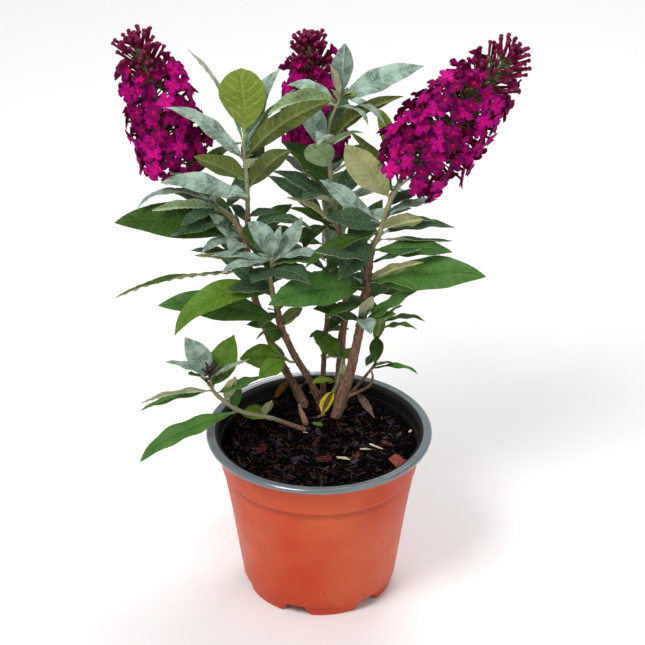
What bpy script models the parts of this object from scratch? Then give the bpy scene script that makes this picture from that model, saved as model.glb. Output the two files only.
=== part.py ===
# Potted butterfly bush: a nursery pot of compost with woody stems, leafy shoots and three flower spikes.
# Sizes are in millimetres and degrees and are scaled to metres as the shapes are made. +Z is up, and the
# front of the plant faces -Y. A turn is seen from above: 0 is right, 90 is back, 180 is left, 270 is front.
import math
import random

import bmesh
import bpy
from mathutils import Matrix, Vector
from mathutils.bvhtree import BVHTree

MM = 0.001
GAP = 0.3

# Pot: a thin formed wall with a collar, a rolled rim and six feet
POT_HEIGHT = 133.0
RIM_RADIUS = 85.0
RIM_WIDTH = 8.5
RIM_DEPTH = 4.5
RIM_ROUND = 1.5
WALL = 1.3
COLLAR_TOP_RADIUS = 74.6
COLLAR_LOW_RADIUS = 72.8
COLLAR_STEP = 103.0
STEP_WIDTH = 1.1
STEP_HEIGHT = 1.5
CORNER = 2.0
WALL_FOOT_RADIUS = 58.2
FOOT_HEIGHT = 9.5
FOOT_OUTER = 56.2
FOOT_INNER = 46.0
FOOT_SHOULDER = 1.5
FOOT_TAPER = 0.6
FOOT_COUNT = 6
FOOT_ARC = 41.0
FIRST_FOOT = 12.7
FOOT_GAP_SPREAD_LOW = 1.12
FOOT_GAP_SPREAD_HIGH = 0.66
FOOT_GAP_ROOF = 1.6
CUT_PAST = 4.0
DRAIN_RADIUS = 3.5
DRAIN_RING = 38.0
DRAIN_SIDES = 12
POT_SIDES = 40

# Compost: flat round the stems and lower at the wall
COMPOST_LEVEL = 123.7
COMPOST_EDGE = 119.5
COMPOST_FLAT = 66.0
COMPOST_SLACK = 0.2
STEM_FOOT = COMPOST_LEVEL + GAP
STEM_FOOT_UPRIGHT = 2.5
STEM_FOOT_FLARE = 0.12

# Leaves
LEAF_OUTLINE = ((0.0, 0.08), (0.12, 0.20), (0.42, 1.0), (0.78, 0.68))
LEAF_FOLD = 0.28
LEAF_SLIMNESS = 90.0
LEAF_LEAST_THICKNESS = 0.8
LEAF_CLEARANCE = 0.35
REACH = 205.0
STRAIGHT_START = 8.0
GOLDEN_ANGLE = 137.5

# Seeded leaves: their least share of the longest, rise at the foot of the twig, gain towards its tip,
# and the spread of turn and rise; and how near along the twig and round it counts as the same place
SEEDED_SHORTEST = 0.62
SEEDED_RISE = 8.0
SEEDED_RISE_GAIN = 34.0
SEEDED_TURN_SPREAD = 18.0
SEEDED_RISE_SPREAD = 10.0
SEEDED_SLIM = 0.24
SEEDED_BROAD = 0.31
SAME_SHARE = 0.10
SAME_TURN = 34.0

# Changes of turn and rise tried in order, and then at less size, where a leaf would touch another shoot
SMALLER_SIZES = (1.0, 0.85, 0.7)
TRIES = ((0, 0), (0, 9), (8, 0), (-8, 0), (0, -9), (14, 9), (-14, 9), (14, -9), (-14, -9))

# Woody stems from the flat cut at the compost to the first leaves: x, y, z and radius of each point
STEMS = {
    "stem_front_left": ((1, 52, 124, 2.9), (-8, 48, 148, 2.5), (-18, 44, 169, 2.6), (-26, 38, 192, 2.5)),
    "stem_back_left": ((-12, 50, 124, 3.6), (-23, 55, 145, 3.0), (-35, 60, 168, 2.8), (-46, 64, 200, 2.7)),
    "stem_back": ((3, 64, 124, 2.5), (3, 67, 140, 2.0), (4, 71, 160, 1.9)),
    "stem_centre": ((13, 52, 124, 3.5), (16, 57, 147, 3.6), (17, 60, 168, 3.0)),
    "stem_right": ((13, 33, 124, 3.7), (18, 33, 143, 4.5), (24, 32, 166, 3.7), (31, 32, 203, 3.2)),
    "stem_thin": ((21, 57, 124, 1.5), (31, 60, 136, 1.2), (38, 62, 145, 1.1)),
}

# Leafy shoots. A path point is x, y, z and the radius of the twig. A leaf is its share of the way along the
# twig, turn, rise, length, width, droop and roll, which turns its upper face towards the front. Fill gives
# the seeded pairs: their count, the stretch of twig that they stand on, the first turn, and the longest leaf.
SHOOTS = {
    "foliage_front_left": {
        "seed": 11,
        "on": "stem_front_left",
        "twigs": (
            {
                "path": ((-31, 32, 216, 2.2), (-35, 28, 237, 2.0), (-36, 25, 252, 1.7), (-34, 22, 268, 1.2)),
                "leaves": (
                    (0.10, 200, 13, 28, 10, 40, 20), (0.09, 230, -16, 16, 11, 30, 30),
                    (0.09, 325, 54, 32, 11, 20, -50), (0.22, 188, 17, 93, 26, 12, 30),
                    (0.52, 200, -13, 92, 21, 95, 30), (0.60, 213, 14, 39, 16, 25, 10),
                    (0.84, 318, 10, 40, 22, 30, 10), (0.86, 236, -2, 24, 19, 40, 0),
                    (0.87, 113, 8, 38, 13, 35, 0), (0.94, 197, 14, 48, 13, 30, -5),
                    (0.96, 213, 5, 45, 13, 35, 0), (0.95, 352, 9, 44, 13, 55, 0),
                    (0.97, 26, 50, 39, 15, -25, 15), (0.97, 154, 52, 35, 16, 60, 30),
                    (0.99, 26, 78, 27, 9, 0, 10), (0.99, 190, 66, 20, 10, 10, 30),
                    (0.95, 61, 23, 26, 11, 30, 0), (0.90, 345, 14, 31, 9, 30, 0),
                    (0.12, 205, -13, 22, 8, 30, -40),
                ),
                "fill": {"pairs": 4, "from": 0.30, "to": 0.80, "turn": 75, "length": 56},
            },
        ),
    },
    "foliage_left": {
        "seed": 23,
        "on": "stem_back_left",
        "solver": "MANIFOLD",
        "twigs": (
            {
                "path": ((-52, 66, 226, 2.6), (-54, 64, 251, 2.5), (-60, 64, 270, 2.2), (-70, 67, 281, 2.0),
                         (-85, 72, 287, 1.8), (-97, 75, 293, 1.7), (-105, 77, 311, 1.6)),
                "leaves": (
                    (0.23, 190, -5, 105, 14, 22, -22), (0.29, 216, 8, 46, 15, 30, -40),
                    (0.29, 195, 24, 49, 15, 20, 10), (0.43, 206, -2, 38, 11, 60, 5),
                    (0.41, 193, 49, 40, 17, -10, 25), (0.49, 190, 10, 96, 28, 22, 45),
                    (0.56, 206, -1, 53, 13, 30, 10), (0.68, 225, -2, 39, 12, 45, 10),
                    (0.66, 204, 12, 56, 20, 25, -45), (0.73, 196, 10, 64, 12, 75, -10),
                    (0.69, 180, 24, 39, 11, 25, 20), (0.93, 33, 28, 56, 13, 20, 0),
                    (0.91, 180, 25, 13, 9, 25, 0), (0.96, 21, 28, 40, 11, 25, -40),
                    (0.10, 51, 0, 42, 13, 30, 0), (0.08, 131, -30, 42, 12, 25, 0),
                ),
                "fill": {"pairs": 7, "from": 0.14, "to": 0.88, "turn": 60, "length": 70},
            },
            {
                "path": ((-54, 64, 250, 2.2), (-53, 57, 285, 1.9), (-53, 50, 317, 1.6), (-55, 46, 350, 1.1)),
                "leaves": (
                    (0.99, 41, 82, 62, 38, -15, 40), (0.95, 150, 55, 85, 12, 45, -25),
                    (0.83, 186, 42, 73, 17, 30, 25), (0.85, 345, 38, 86, 19, 40, -70),
                    (0.65, 200, 35, 48, 21, 25, -60), (0.58, 340, 48, 55, 19, 25, -60),
                    (0.88, 49, 30, 25, 16, 10, 0), (0.71, 49, 43, 28, 14, 10, 0),
                    (0.94, 46, 58, 65, 19, 20, 0), (0.47, 193, 24, 71, 19, 30, 25),
                    (0.90, 20, 50, 61, 16, 30, -40), (0.32, 26, 0, 26, 11, 30, 0),
                ),
                "fill": {"pairs": 3, "from": 0.25, "to": 0.75, "turn": 95, "length": 56},
            },
        ),
    },
    "foliage_right": {
        "seed": 37,
        "on": "stem_right",
        "twigs": (
            {
                "path": ((33, 32, 220, 3.0), (35, 33, 235, 2.9), (39, 34, 268, 2.5), (44, 34, 279, 2.0),
                         (51, 36, 303, 1.8), (60, 38, 324, 1.7)),
                "leaves": (
                    (0.29, 350, 11, 90, 28, 20, 35), (0.26, 198, 8, 81, 28, 22, 35),
                    (0.30, 338, 32, 52, 14, 15, -50), (0.29, 320, 19, 44, 9, 25, 0),
                    (0.29, 215, 8, 14, 10, 30, 10), (0.56, 227, -18, 42, 19, 30, 30),
                    (0.42, 338, 25, 45, 10, 20, 5), (0.51, 356, 4, 60, 18, 12, 15),
                    (0.59, 6, -7, 57, 11, 15, -20), (0.63, 10, 0, 59, 15, 30, 0),
                    (0.66, 332, 26, 39, 20, 20, -45), (0.68, 196, 17, 46, 20, 20, 25),
                    (0.65, 205, -18, 65, 12, 20, 10), (0.76, 30, 0, 46, 12, 25, 0),
                    (0.72, 10, -5, 38, 11, 20, 0), (0.86, 215, 57, 70, 24, -15, -60),
                    (0.90, 180, 67, 61, 16, 10, -50), (0.81, 49, 0, 38, 13, 20, 0),
                    (0.96, 102, 38, 66, 12, 10, 0), (0.04, 212, 27, 47, 18, 20, 15),
                    (0.01, 348, 40, 58, 15, 15, 15), (0.01, 340, 30, 32, 13, 20, 10),
                    (0.04, 292, 58, 39, 11, 10, 0), (0.04, 281, 6, 29, 14, 70, 0),
                ),
                "fill": {"pairs": 6, "from": 0.16, "to": 0.90, "turn": 40, "length": 70},
            },
        ),
    },
    "foliage_centre": {
        "seed": 41,
        "on": "stem_centre",
        "twigs": (
            {
                "path": ((19, 63, 190, 2.6), (20, 64, 221, 2.4), (15, 60, 268, 2.0), (10, 56, 303, 1.8),
                         (8, 54, 332, 1.6), (8, 55, 359, 1.4), (17, 56, 384, 1.1)),
                "leaves": (
                    (0.35, 222, 20, 54, 14, 25, 0), (0.45, 195, 37, 47, 14, 25, 10),
                    (0.48, 178, 37, 47, 12, 15, -50), (0.57, 183, 38, 56, 17, 15, 15),
                    (0.63, 163, 48, 53, 24, 15, 10), (0.72, 215, 54, 32, 22, 10, -60),
                    (0.79, 168, 58, 43, 24, 10, 20), (0.80, 350, 38, 72, 20, 60, -45),
                    (0.80, 348, 35, 30, 10, 20, -40), (0.95, 195, 6, 58, 22, 60, -65),
                    (0.95, 170, 24, 42, 11, 55, 30), (0.99, 290, 80, 46, 17, 8, 0),
                    (0.97, 250, 71, 38, 9, 10, 30), (0.97, 8, 19, 67, 20, 25, 30),
                    (0.98, 329, -20, 42, 7, 85, 10), (0.94, 324, -6, 36, 7, 95, -10),
                    (0.98, 340, 25, 13, 9, 20, 0),
                ),
                "fill": {"pairs": 8, "from": 0.12, "to": 0.92, "turn": 70, "length": 64},
            },
        ),
    },
    "foliage_back": {
        "seed": 53,
        "on": "stem_back",
        "twigs": (
            {
                "path": ((6, 77, 184, 1.7), (7, 86, 230, 1.6), (4, 94, 277, 1.5), (1, 100, 312, 1.5)),
                "leaves": (
                    (0.09, 203, -7, 14, 8, 25, 0), (0.09, 350, 15, 19, 8, 25, 0),
                    (0.40, 146, 16, 54, 14, 25, 0), (0.44, 40, 14, 54, 14, 25, 0),
                    (0.68, 150, 24, 58, 16, 25, 10), (0.72, 35, 30, 58, 16, 25, 10),
                    (0.86, 170, 42, 38, 13, 20, 20), (0.88, 54, 20, 42, 13, 25, 0),
                ),
                "fill": {"pairs": 8, "from": 0.24, "to": 0.92, "turn": 85, "length": 74},
            },
        ),
    },
    "foliage_low": {
        "solver": "MANIFOLD",
        "twigs": (
            {
                "path": ((-12, 13, 124, 2.0), (-22, 10, 130, 1.9), (-35, 6, 138, 1.7), (-58, -2, 149, 1.6),
                         (-71, -6, 161, 1.5), (-79, -8, 172, 1.3), (-81, -8, 185, 1.1)),
                "leaves": (
                    (0.98, 173, 64, 38, 18, 10, 60), (0.98, 186, 24, 36, 11, 30, 0),
                    (0.95, 238, 34, 36, 10, 20, 0), (0.97, 345, 32, 36, 9, 20, 0),
                    (0.85, 193, -2, 56, 12, 30, -45), (0.86, 176, -16, 58, 12, 10, 0),
                    (0.88, 54, 48, 43, 22, 15, 20), (0.82, 350, 26, 40, 16, 25, 0),
                    (0.72, 317, 60, 30, 9, 20, -60), (0.57, 197, -20, 86, 17, 25, 15),
                    (0.60, 100, 70, 25, 10, 10, 0), (0.30, 175, 12, 22, 16, 30, 10),
                    (0.35, 340, 67, 17, 9, 20, -40),
                ),
                "withered_flower": True,
            },
        ),
    },
    "foliage_side": {
        "on": "stem_thin",
        "twigs": (
            {
                "path": ((42, 61, 160, 0.9), (44, 58, 180, 0.9), (48, 56, 200, 0.8)),
                "leaves": (
                    (0.05, 346, 5, 39, 6, 50, 0), (0.10, 350, 20, 17, 8, 30, -40),
                    (0.35, 243, -21, 14, 7, 30, 0), (0.64, 269, -29, 24, 11, 40, 0),
                    (0.72, 346, 13, 33, 7, 60, 0), (0.84, 9, 2, 37, 7, 50, 0),
                    (0.94, 333, 44, 22, 8, 10, 0), (0.50, 80, 20, 34, 9, 25, 0),
                    (0.90, 130, 30, 26, 9, 15, 0),
                ),
            },
        ),
    },
    "foliage_foot": {
        "twigs": (
            {
                "path": ((6, 42, 124, 1.6), (11, 43, 139, 1.4), (15, 44, 151, 1.2), (18, 45, 168, 1.0)),
                "leaves": (
                    (0.52, 205, 14, 22, 9, 55, 0), (0.38, 244, -38, 22, 10, 20, 0),
                    (0.98, 150, 32, 31, 19, 15, 10), (0.98, 30, 22, 14, 11, 20, 10),
                    (0.97, 190, 11, 15, 5, 60, 0), (0.90, 300, -60, 11, 8, 20, 0),
                    (0.40, 225, -27, 24, 8, 30, 10),
                ),
            },
        ),
    },
    "foliage_sprig": {
        "twigs": (
            {
                "path": ((-20.3, 42.1, 166, 1.0), (-22.8, 40.5, 167.5, 0.9), (-25.5, 39, 171, 0.8)),
                "leaves": (
                    (0.90, 188, 6, 36, 20, 20, 40), (0.80, 222, -8, 30, 15, 30, 30),
                    (0.95, 160, 40, 18, 8, 20, 0),
                ),
            },
        ),
    },
}

# Flower spikes: the shoot each one ends, the rest of its axis, the widest radius, the share of the axis
# where the buds begin, and how many open florets and buds stand on it
SPIKES = {
    "flower_spike_left": {
        "seed": 5, "on": "foliage_left", "axis": ((-110, 78, 335), (-120, 79, 374), (-134, 80, 417)),
        "radius": 28.5, "buds_from": 0.66, "florets": 28, "buds": 17,
    },
    "flower_spike_back": {
        "seed": 7, "on": "foliage_back", "axis": ((-2, 103, 341), (-4, 105, 372), (-8, 108, 405)),
        "radius": 24.0, "buds_from": 0.66, "florets": 22, "buds": 15,
    },
    "flower_spike_right": {
        "seed": 9, "on": "foliage_right", "axis": ((84, 41, 352), (113, 44, 390), (141, 46, 423)),
        "radius": 33.0, "buds_from": 0.66, "florets": 34, "buds": 20,
    },
}
SPIKE_STALK = 1.6
SPIKE_LEAN_FOOT = 100.0
SPIKE_LEAN_TIP = 38.0
SPIKE_LEAN_SPREAD = 8.0
FLORETS_FROM = 0.06
CORE_FROM = 0.03
CORE_RINGS = 8
CORE_LEAST = 1.2
SPIKE_CORE_SHARE = 0.66
BUD_CORE_SHARE = 0.20
SPIKE_OUTLINE = (
    (0.0, 0.20), (0.05, 0.80), (0.14, 0.98), (0.34, 1.0), (0.55, 0.82), (0.72, 0.60), (0.9, 0.42), (1.0, 0.20),
)
FLORET_RADIUS = 6.8
FLORET_TUBE = 1.8
BUD_RADIUS = 1.8
BUD_STALK = 0.8
TIP_BUD_LENGTH = 7.0
WITHERED_TUBES = 7
WITHERED_LENGTH = 9.0
WITHERED_RADIUS = 1.5

# Dead twig beside the thick stem, with one withered leaf
DEAD_TWIG = (
    (20, 47.5, 124, 1.3), (21, 48, 130, 1.2), (28, 49, 134, 1.1), (38, 51, 139, 1.0), (41, 52, 147, 0.8),
    (39, 52, 154, 0.7),
)
DEAD_LEAF = (0.36, 295, -12, 31, 8, 20, 0)

COLOURS = {
    "pot": ((0.58, 0.08, 0.03), 0.5),
    "compost": ((0.012, 0.006, 0.007), 0.95),
    "bark": ((0.14, 0.075, 0.05), 0.85),
    "leaf": ((0.06, 0.14, 0.06), 0.7),
    "flower": ((0.42, 0.008, 0.19), 0.6),
}


def clear_scene():
    for thing in list(bpy.data.objects):
        bpy.data.objects.remove(thing, do_unlink=True)


def new_collection(name):
    collection = bpy.data.collections.new(name)
    bpy.context.scene.collection.children.link(collection)
    return collection


def material_for(name, kind):
    colour, roughness = COLOURS[kind]
    material = bpy.data.materials.new(name)
    material.use_nodes = True
    shader = material.node_tree.nodes["Principled BSDF"]
    shader.inputs["Base Color"].default_value = (*colour, 1.0)
    shader.inputs["Roughness"].default_value = roughness
    shader.inputs["Metallic"].default_value = 0.0
    material.diffuse_color = (*colour, 1.0)
    return material


def add_object(name, mesh, collection):
    thing = bpy.data.objects.new(name, mesh)
    collection.objects.link(thing)
    return thing


def finish(thing, kind, smooth=None):
    thing.data.materials.clear()
    thing.data.materials.append(material_for(thing.name, kind))
    if smooth is not None:
        thing.data.shade_smooth()
        thing.data.set_sharp_from_angle(angle=math.radians(smooth))


def turned(name, profile, sides, collection):
    # The profile runs from the axis over the top and down the outer side, back to the axis.
    mesh = bpy.data.meshes.new(name)
    points = [(radius * MM, 0.0, height * MM) for radius, height in profile]
    mesh.from_pydata(points, [(i, i + 1) for i in range(len(points) - 1)], [])
    thing = add_object(name, mesh, collection)
    screw = thing.modifiers.new("Turn", "SCREW")
    screw.axis = "Z"
    screw.steps = sides
    screw.render_steps = sides
    screw.use_merge_vertices = True
    screw.merge_threshold = 0.00001
    return thing


def applied(thing):
    graph = bpy.context.evaluated_depsgraph_get()
    mesh = bpy.data.meshes.new_from_object(thing.evaluated_get(graph))
    thing.modifiers.clear()
    thing.data = mesh
    return thing


def wall_radius(height):
    # Outer radius of the pot below the collar's step
    share = (height - FOOT_HEIGHT) / (COLLAR_STEP - FOOT_HEIGHT)
    return WALL_FOOT_RADIUS + share * (COLLAR_LOW_RADIUS - STEP_WIDTH - WALL_FOOT_RADIUS)


def collar_radius(height):
    # Outer radius of the collar, which widens from the step to the rim
    low = COLLAR_STEP + STEP_HEIGHT
    share = (height - low) / (POT_HEIGHT - RIM_DEPTH - low)
    return COLLAR_LOW_RADIUS + share * (COLLAR_TOP_RADIUS - COLLAR_LOW_RADIUS)


def make_pot(parts, cutters):
    rim_under = POT_HEIGHT - RIM_DEPTH
    rim_inner = RIM_RADIUS - RIM_WIDTH
    floor = FOOT_HEIGHT + WALL
    step_top = COLLAR_STEP + STEP_HEIGHT
    profile = (
        (0.0, floor),
        (wall_radius(floor) - WALL - CORNER, floor),
        (wall_radius(floor + CORNER) - WALL, floor + CORNER),
        (wall_radius(COLLAR_STEP) - WALL, COLLAR_STEP),
        (COLLAR_LOW_RADIUS - WALL, step_top),
        (COLLAR_TOP_RADIUS - WALL, rim_under),
        (rim_inner, POT_HEIGHT - RIM_ROUND / 2.0),
        (rim_inner + RIM_ROUND, POT_HEIGHT),
        (RIM_RADIUS - RIM_ROUND, POT_HEIGHT),
        (RIM_RADIUS, POT_HEIGHT - RIM_ROUND),
        (RIM_RADIUS, rim_under + RIM_ROUND),
        (RIM_RADIUS - RIM_ROUND, rim_under),
        (COLLAR_TOP_RADIUS, rim_under - RIM_ROUND / 2.0),
        (COLLAR_LOW_RADIUS, step_top),
        (wall_radius(COLLAR_STEP), COLLAR_STEP),
        (WALL_FOOT_RADIUS, FOOT_HEIGHT),
        (FOOT_OUTER, FOOT_HEIGHT - FOOT_SHOULDER),
        (FOOT_OUTER - FOOT_TAPER, 0.0),
        (FOOT_INNER, 0.0),
        (FOOT_INNER - CORNER, FOOT_HEIGHT),
        (0.0, FOOT_HEIGHT),
    )
    pot = turned("pot", profile, POT_SIDES, parts)
    gap_arc = 360.0 / FOOT_COUNT - FOOT_ARC
    tools = bpy.data.collections.new("pot_cutters")
    cutters.children.link(tools)
    for index in range(FOOT_COUNT):
        middle = math.radians(FIRST_FOOT + (index + 0.5) * 360.0 / FOOT_COUNT - 90.0)
        tools.objects.link(foot_gap_cutter(index, middle, gap_arc))
        tools.objects.link(drain_cutter(index, middle))
    cut = pot.modifiers.new("Feet and drain holes", "BOOLEAN")
    cut.operation = "DIFFERENCE"
    cut.operand_type = "COLLECTION"
    cut.collection = tools
    applied(pot)
    for tool in list(tools.objects):
        bpy.data.objects.remove(tool, do_unlink=True)
    finish(pot, "pot", smooth=35)
    return pot


def foot_gap_cutter(index, middle, gap_arc):
    # A wedge, wider at the ground than at its top, that leaves one foot on each side
    half = math.radians(gap_arc / 2.0)
    radius = (FOOT_INNER + FOOT_OUTER) / 2.0
    corners = []
    low = (-CUT_PAST, half * FOOT_GAP_SPREAD_LOW)
    high = (FOOT_HEIGHT - FOOT_GAP_ROOF, half * FOOT_GAP_SPREAD_HIGH)
    for height, spread in (low, high):
        for along in (FOOT_INNER - CUT_PAST, FOOT_OUTER + CUT_PAST):
            for side in (-1.0, 1.0):
                across = side * radius * math.tan(spread)
                corners.append(Vector((along, across, height)) * MM)
    mesh = bpy.data.meshes.new(f"foot_gap_{index}")
    shape = bmesh.new()
    made = [shape.verts.new(corner) for corner in corners]
    bmesh.ops.convex_hull(shape, input=made)
    shape.to_mesh(mesh)
    shape.free()
    tool = bpy.data.objects.new(f"foot_gap_{index}", mesh)
    tool.rotation_euler.z = middle
    return hidden(tool)


def drain_cutter(index, middle):
    mesh = bpy.data.meshes.new(f"drain_{index}")
    shape = bmesh.new()
    bmesh.ops.create_cone(
        shape, cap_ends=True, segments=DRAIN_SIDES, radius1=DRAIN_RADIUS * MM, radius2=DRAIN_RADIUS * MM,
        depth=(WALL + 2.0 * CUT_PAST) * MM,
    )
    shape.to_mesh(mesh)
    shape.free()
    tool = bpy.data.objects.new(f"drain_{index}", mesh)
    place = Vector((math.cos(middle), math.sin(middle), 0.0)) * DRAIN_RING
    tool.location = (place + Vector((0.0, 0.0, FOOT_HEIGHT + WALL / 2.0))) * MM
    return hidden(tool)


def hidden(tool):
    tool.hide_render = True
    tool.display_type = "WIRE"
    return tool


def make_compost(parts):
    # It fills the pot to a small slack from the wall, narrower at the collar's step.
    floor = FOOT_HEIGHT + WALL + GAP
    inside = WALL + GAP + COMPOST_SLACK
    profile = (
        (0.0, COMPOST_LEVEL),
        (COMPOST_FLAT, COMPOST_LEVEL),
        (collar_radius(COMPOST_EDGE) - inside, COMPOST_EDGE),
        (COLLAR_LOW_RADIUS - inside, COLLAR_STEP + STEP_HEIGHT),
        (wall_radius(COLLAR_STEP) - inside, COLLAR_STEP - COMPOST_SLACK),
        (wall_radius(floor + CORNER) - inside, floor + CORNER),
        (wall_radius(floor) - inside - CORNER, floor),
        (0.0, floor),
    )
    compost = applied(turned("compost", profile, POT_SIDES, parts))
    finish(compost, "compost", smooth=35)
    return compost


def smooth_path(points, steps):
    # A Catmull-Rom curve through points of three or four numbers
    rows = [Vector(point) for point in points]
    rows = [rows[0] * 2.0 - rows[1], *rows, rows[-1] * 2.0 - rows[-2]]
    path = []
    for a, b, c, d in zip(rows, rows[1:], rows[2:], rows[3:]):
        for step in range(steps):
            t = step / steps
            path.append(
                (b * 2.0 + (c - a) * t + (a * 2.0 - b * 5.0 + c * 4.0 - d) * t**2
                 + (b * 3.0 - a - c * 3.0 + d) * t**3) * 0.5
            )
    path.append(rows[-2])
    return path


def tube(name, points, sides, collection, steps=2, flat_foot=False):
    # A tapering limb: a curve with its own radius at each point, made a mesh with welded caps
    path = smooth_path(points, steps)
    if flat_foot:
        first = path[0]
        path.insert(1, first + Vector((0.0, 0.0, STEM_FOOT_UPRIGHT, -STEM_FOOT_FLARE * first[3])))
    curve = bpy.data.curves.new(name, "CURVE")
    curve.dimensions = "3D"
    curve.bevel_depth = MM
    curve.bevel_resolution = sides // 2 - 2
    curve.use_fill_caps = True
    spline = curve.splines.new("POLY")
    spline.points.add(len(path) - 1)
    for point, place in zip(spline.points, path):
        point.co = (place[0] * MM, place[1] * MM, place[2] * MM, 1.0)
        point.radius = place[3]
    guide = bpy.data.objects.new(name + "_guide", curve)
    collection.objects.link(guide)
    graph = bpy.context.evaluated_depsgraph_get()
    mesh = bpy.data.meshes.new_from_object(guide.evaluated_get(graph))
    bpy.data.objects.remove(guide, do_unlink=True)
    shape = bmesh.new()
    shape.from_mesh(mesh)
    bmesh.ops.remove_doubles(shape, verts=shape.verts, dist=0.000001)
    bmesh.ops.recalc_face_normals(shape, faces=shape.faces)
    shape.to_mesh(mesh)
    shape.free()
    return add_object(name, mesh, collection)


def leaf_shape(root, leaf, spare=0.0):
    # A folded blade on a short stalk. Its chord has the given rise, and it bends evenly by its droop.
    _, turn, rise, length, width, droop, roll = leaf
    heading = Vector((math.cos(math.radians(turn)), math.sin(math.radians(turn)), 0.0))
    side = Vector((-heading.y, heading.x, 0.0))
    if side.y > 0.0:
        side.negate()
    up = Vector((0.0, 0.0, 1.0))
    half = max(length / LEAF_SLIMNESS, LEAF_LEAST_THICKNESS) / 2.0 + spare
    shape = bmesh.new()
    rings = []
    place = root.copy()
    before = 0.0
    for share, breadth in (*LEAF_OUTLINE, (1.0, 0.0)):
        middle = (before + share) / 2.0
        slope = math.radians(rise + droop * (0.5 - middle))
        place += (heading * math.cos(slope) + up * math.sin(slope)) * length * (share - before)
        slope = math.radians(rise + droop * (0.5 - share))
        flat = up * math.cos(slope) - heading * math.sin(slope)
        normal = flat * math.cos(math.radians(roll)) + side * math.sin(math.radians(roll))
        edge = side * math.cos(math.radians(roll)) - flat * math.sin(math.radians(roll))
        before = share
        if share == 1.0:
            tip = shape.verts.new(place * MM)
            break
        across = edge * (width / 2.0 * breadth + spare)
        lift = normal * (width / 2.0 * breadth * LEAF_FOLD)
        corners = (place + across + lift, place + normal * half, place - across + lift, place - normal * half)
        rings.append([shape.verts.new(corner * MM) for corner in corners])
    for lower, upper in zip(rings, rings[1:]):
        for i in range(4):
            j = (i + 1) % 4
            shape.faces.new((lower[i], lower[j], upper[j], upper[i]))
    for i in range(4):
        shape.faces.new((rings[-1][i], rings[-1][(i + 1) % 4], tip))
    shape.faces.new(rings[0])
    bmesh.ops.recalc_face_normals(shape, faces=shape.faces)
    return shape


def tree_of(thing):
    shape = bmesh.new()
    shape.from_mesh(thing.data)
    tree = BVHTree.FromBMesh(shape)
    shape.free()
    return tree


def point_along(path, share):
    lengths = [(b.xyz - a.xyz).length for a, b in zip(path, path[1:])]
    left = share * sum(lengths)
    for a, b, length in zip(path, path[1:], lengths):
        if left <= length:
            return a.lerp(b, left / length)
        left -= length
    return path[-1].copy()


def way_along(path, share):
    before = point_along(path, max(share - 0.03, 0.0))
    after = point_along(path, min(share + 0.03, 1.0))
    return (after - before).xyz.normalized()


def is_clear(root, leaf, others):
    shape = leaf_shape(root, leaf, spare=LEAF_CLEARANCE)
    farthest = max(vert.co.xy.length for vert in shape.verts)
    tree = BVHTree.FromBMesh(shape)
    shape.free()
    return farthest < REACH * MM and not any(tree.overlap(other) for other in others)


def settled(root, leaf, others):
    # The leaf as given or turned and raised a little, whichever first stands clear, or None
    along, turn, rise, length, width, droop, roll = leaf
    for size in SMALLER_SIZES:
        for turned_by, raised_by in TRIES:
            tried = (along, turn + turned_by, rise + raised_by, length * size, width * size, droop, roll)
            if is_clear(root, tried, others):
                return tried
    return None


def seeded_leaves(fill, chance):
    # Opposite pairs, each a right angle round from the pair below, longest in the middle of the twig
    for index in range(fill["pairs"]):
        share = index / max(fill["pairs"] - 1, 1)
        along = fill["from"] + share * (fill["to"] - fill["from"])
        longest = fill["length"] * (SEEDED_SHORTEST + (1.0 - SEEDED_SHORTEST) * math.sin(math.pi * share))
        for half in (0, 180):
            spread = chance.uniform(-SEEDED_TURN_SPREAD, SEEDED_TURN_SPREAD)
            turn = (fill["turn"] + 90 * index + half + spread) % 360
            length = longest * chance.uniform(0.85, 1.1)
            rise = SEEDED_RISE + SEEDED_RISE_GAIN * share
            rise += chance.uniform(-SEEDED_RISE_SPREAD, SEEDED_RISE_SPREAD)
            width = length * chance.uniform(SEEDED_SLIM, SEEDED_BROAD)
            yield (along, turn, rise, length, width, chance.uniform(18, 38), chance.uniform(-10, 22))


def stands_beside(leaf, placed):
    for other in placed:
        near = abs(leaf[0] - other[0]) < SAME_SHARE
        alike = abs((leaf[1] - other[1] + 180) % 360 - 180) < SAME_TURN
        if near and alike:
            return True
    return False


def leaves_on(twig, path, others, chance):
    placed = []
    wanted = [(leaf, False) for leaf in twig["leaves"]]
    if "fill" in twig:
        wanted += [(leaf, True) for leaf in seeded_leaves(twig["fill"], chance)]
    for leaf, seeded in wanted:
        if seeded and stands_beside(leaf, placed):
            continue
        found = settled(point_along(path, leaf[0]).xyz, leaf, others)
        if found:
            placed.append(found)
    return placed


def fused(name, body, extras, collection, kind, solver="EXACT"):
    # One union joins everything in the collection to the body. Sealed hollows and loose scraps go.
    tools = bpy.data.collections.new(name + "_pieces")
    collection.children.link(tools)
    for number, mesh in enumerate(extras):
        tools.objects.link(bpy.data.objects.new(f"{name}_piece_{number}", mesh))
    join = body.modifiers.new("Join", "BOOLEAN")
    join.operation = "UNION"
    join.solver = solver
    join.operand_type = "COLLECTION"
    join.collection = tools
    applied(body)
    for tool in list(tools.objects):
        bpy.data.objects.remove(tool, do_unlink=True)
    keep_largest_body(body.data)
    finish(body, kind, smooth=40)
    return body


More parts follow.
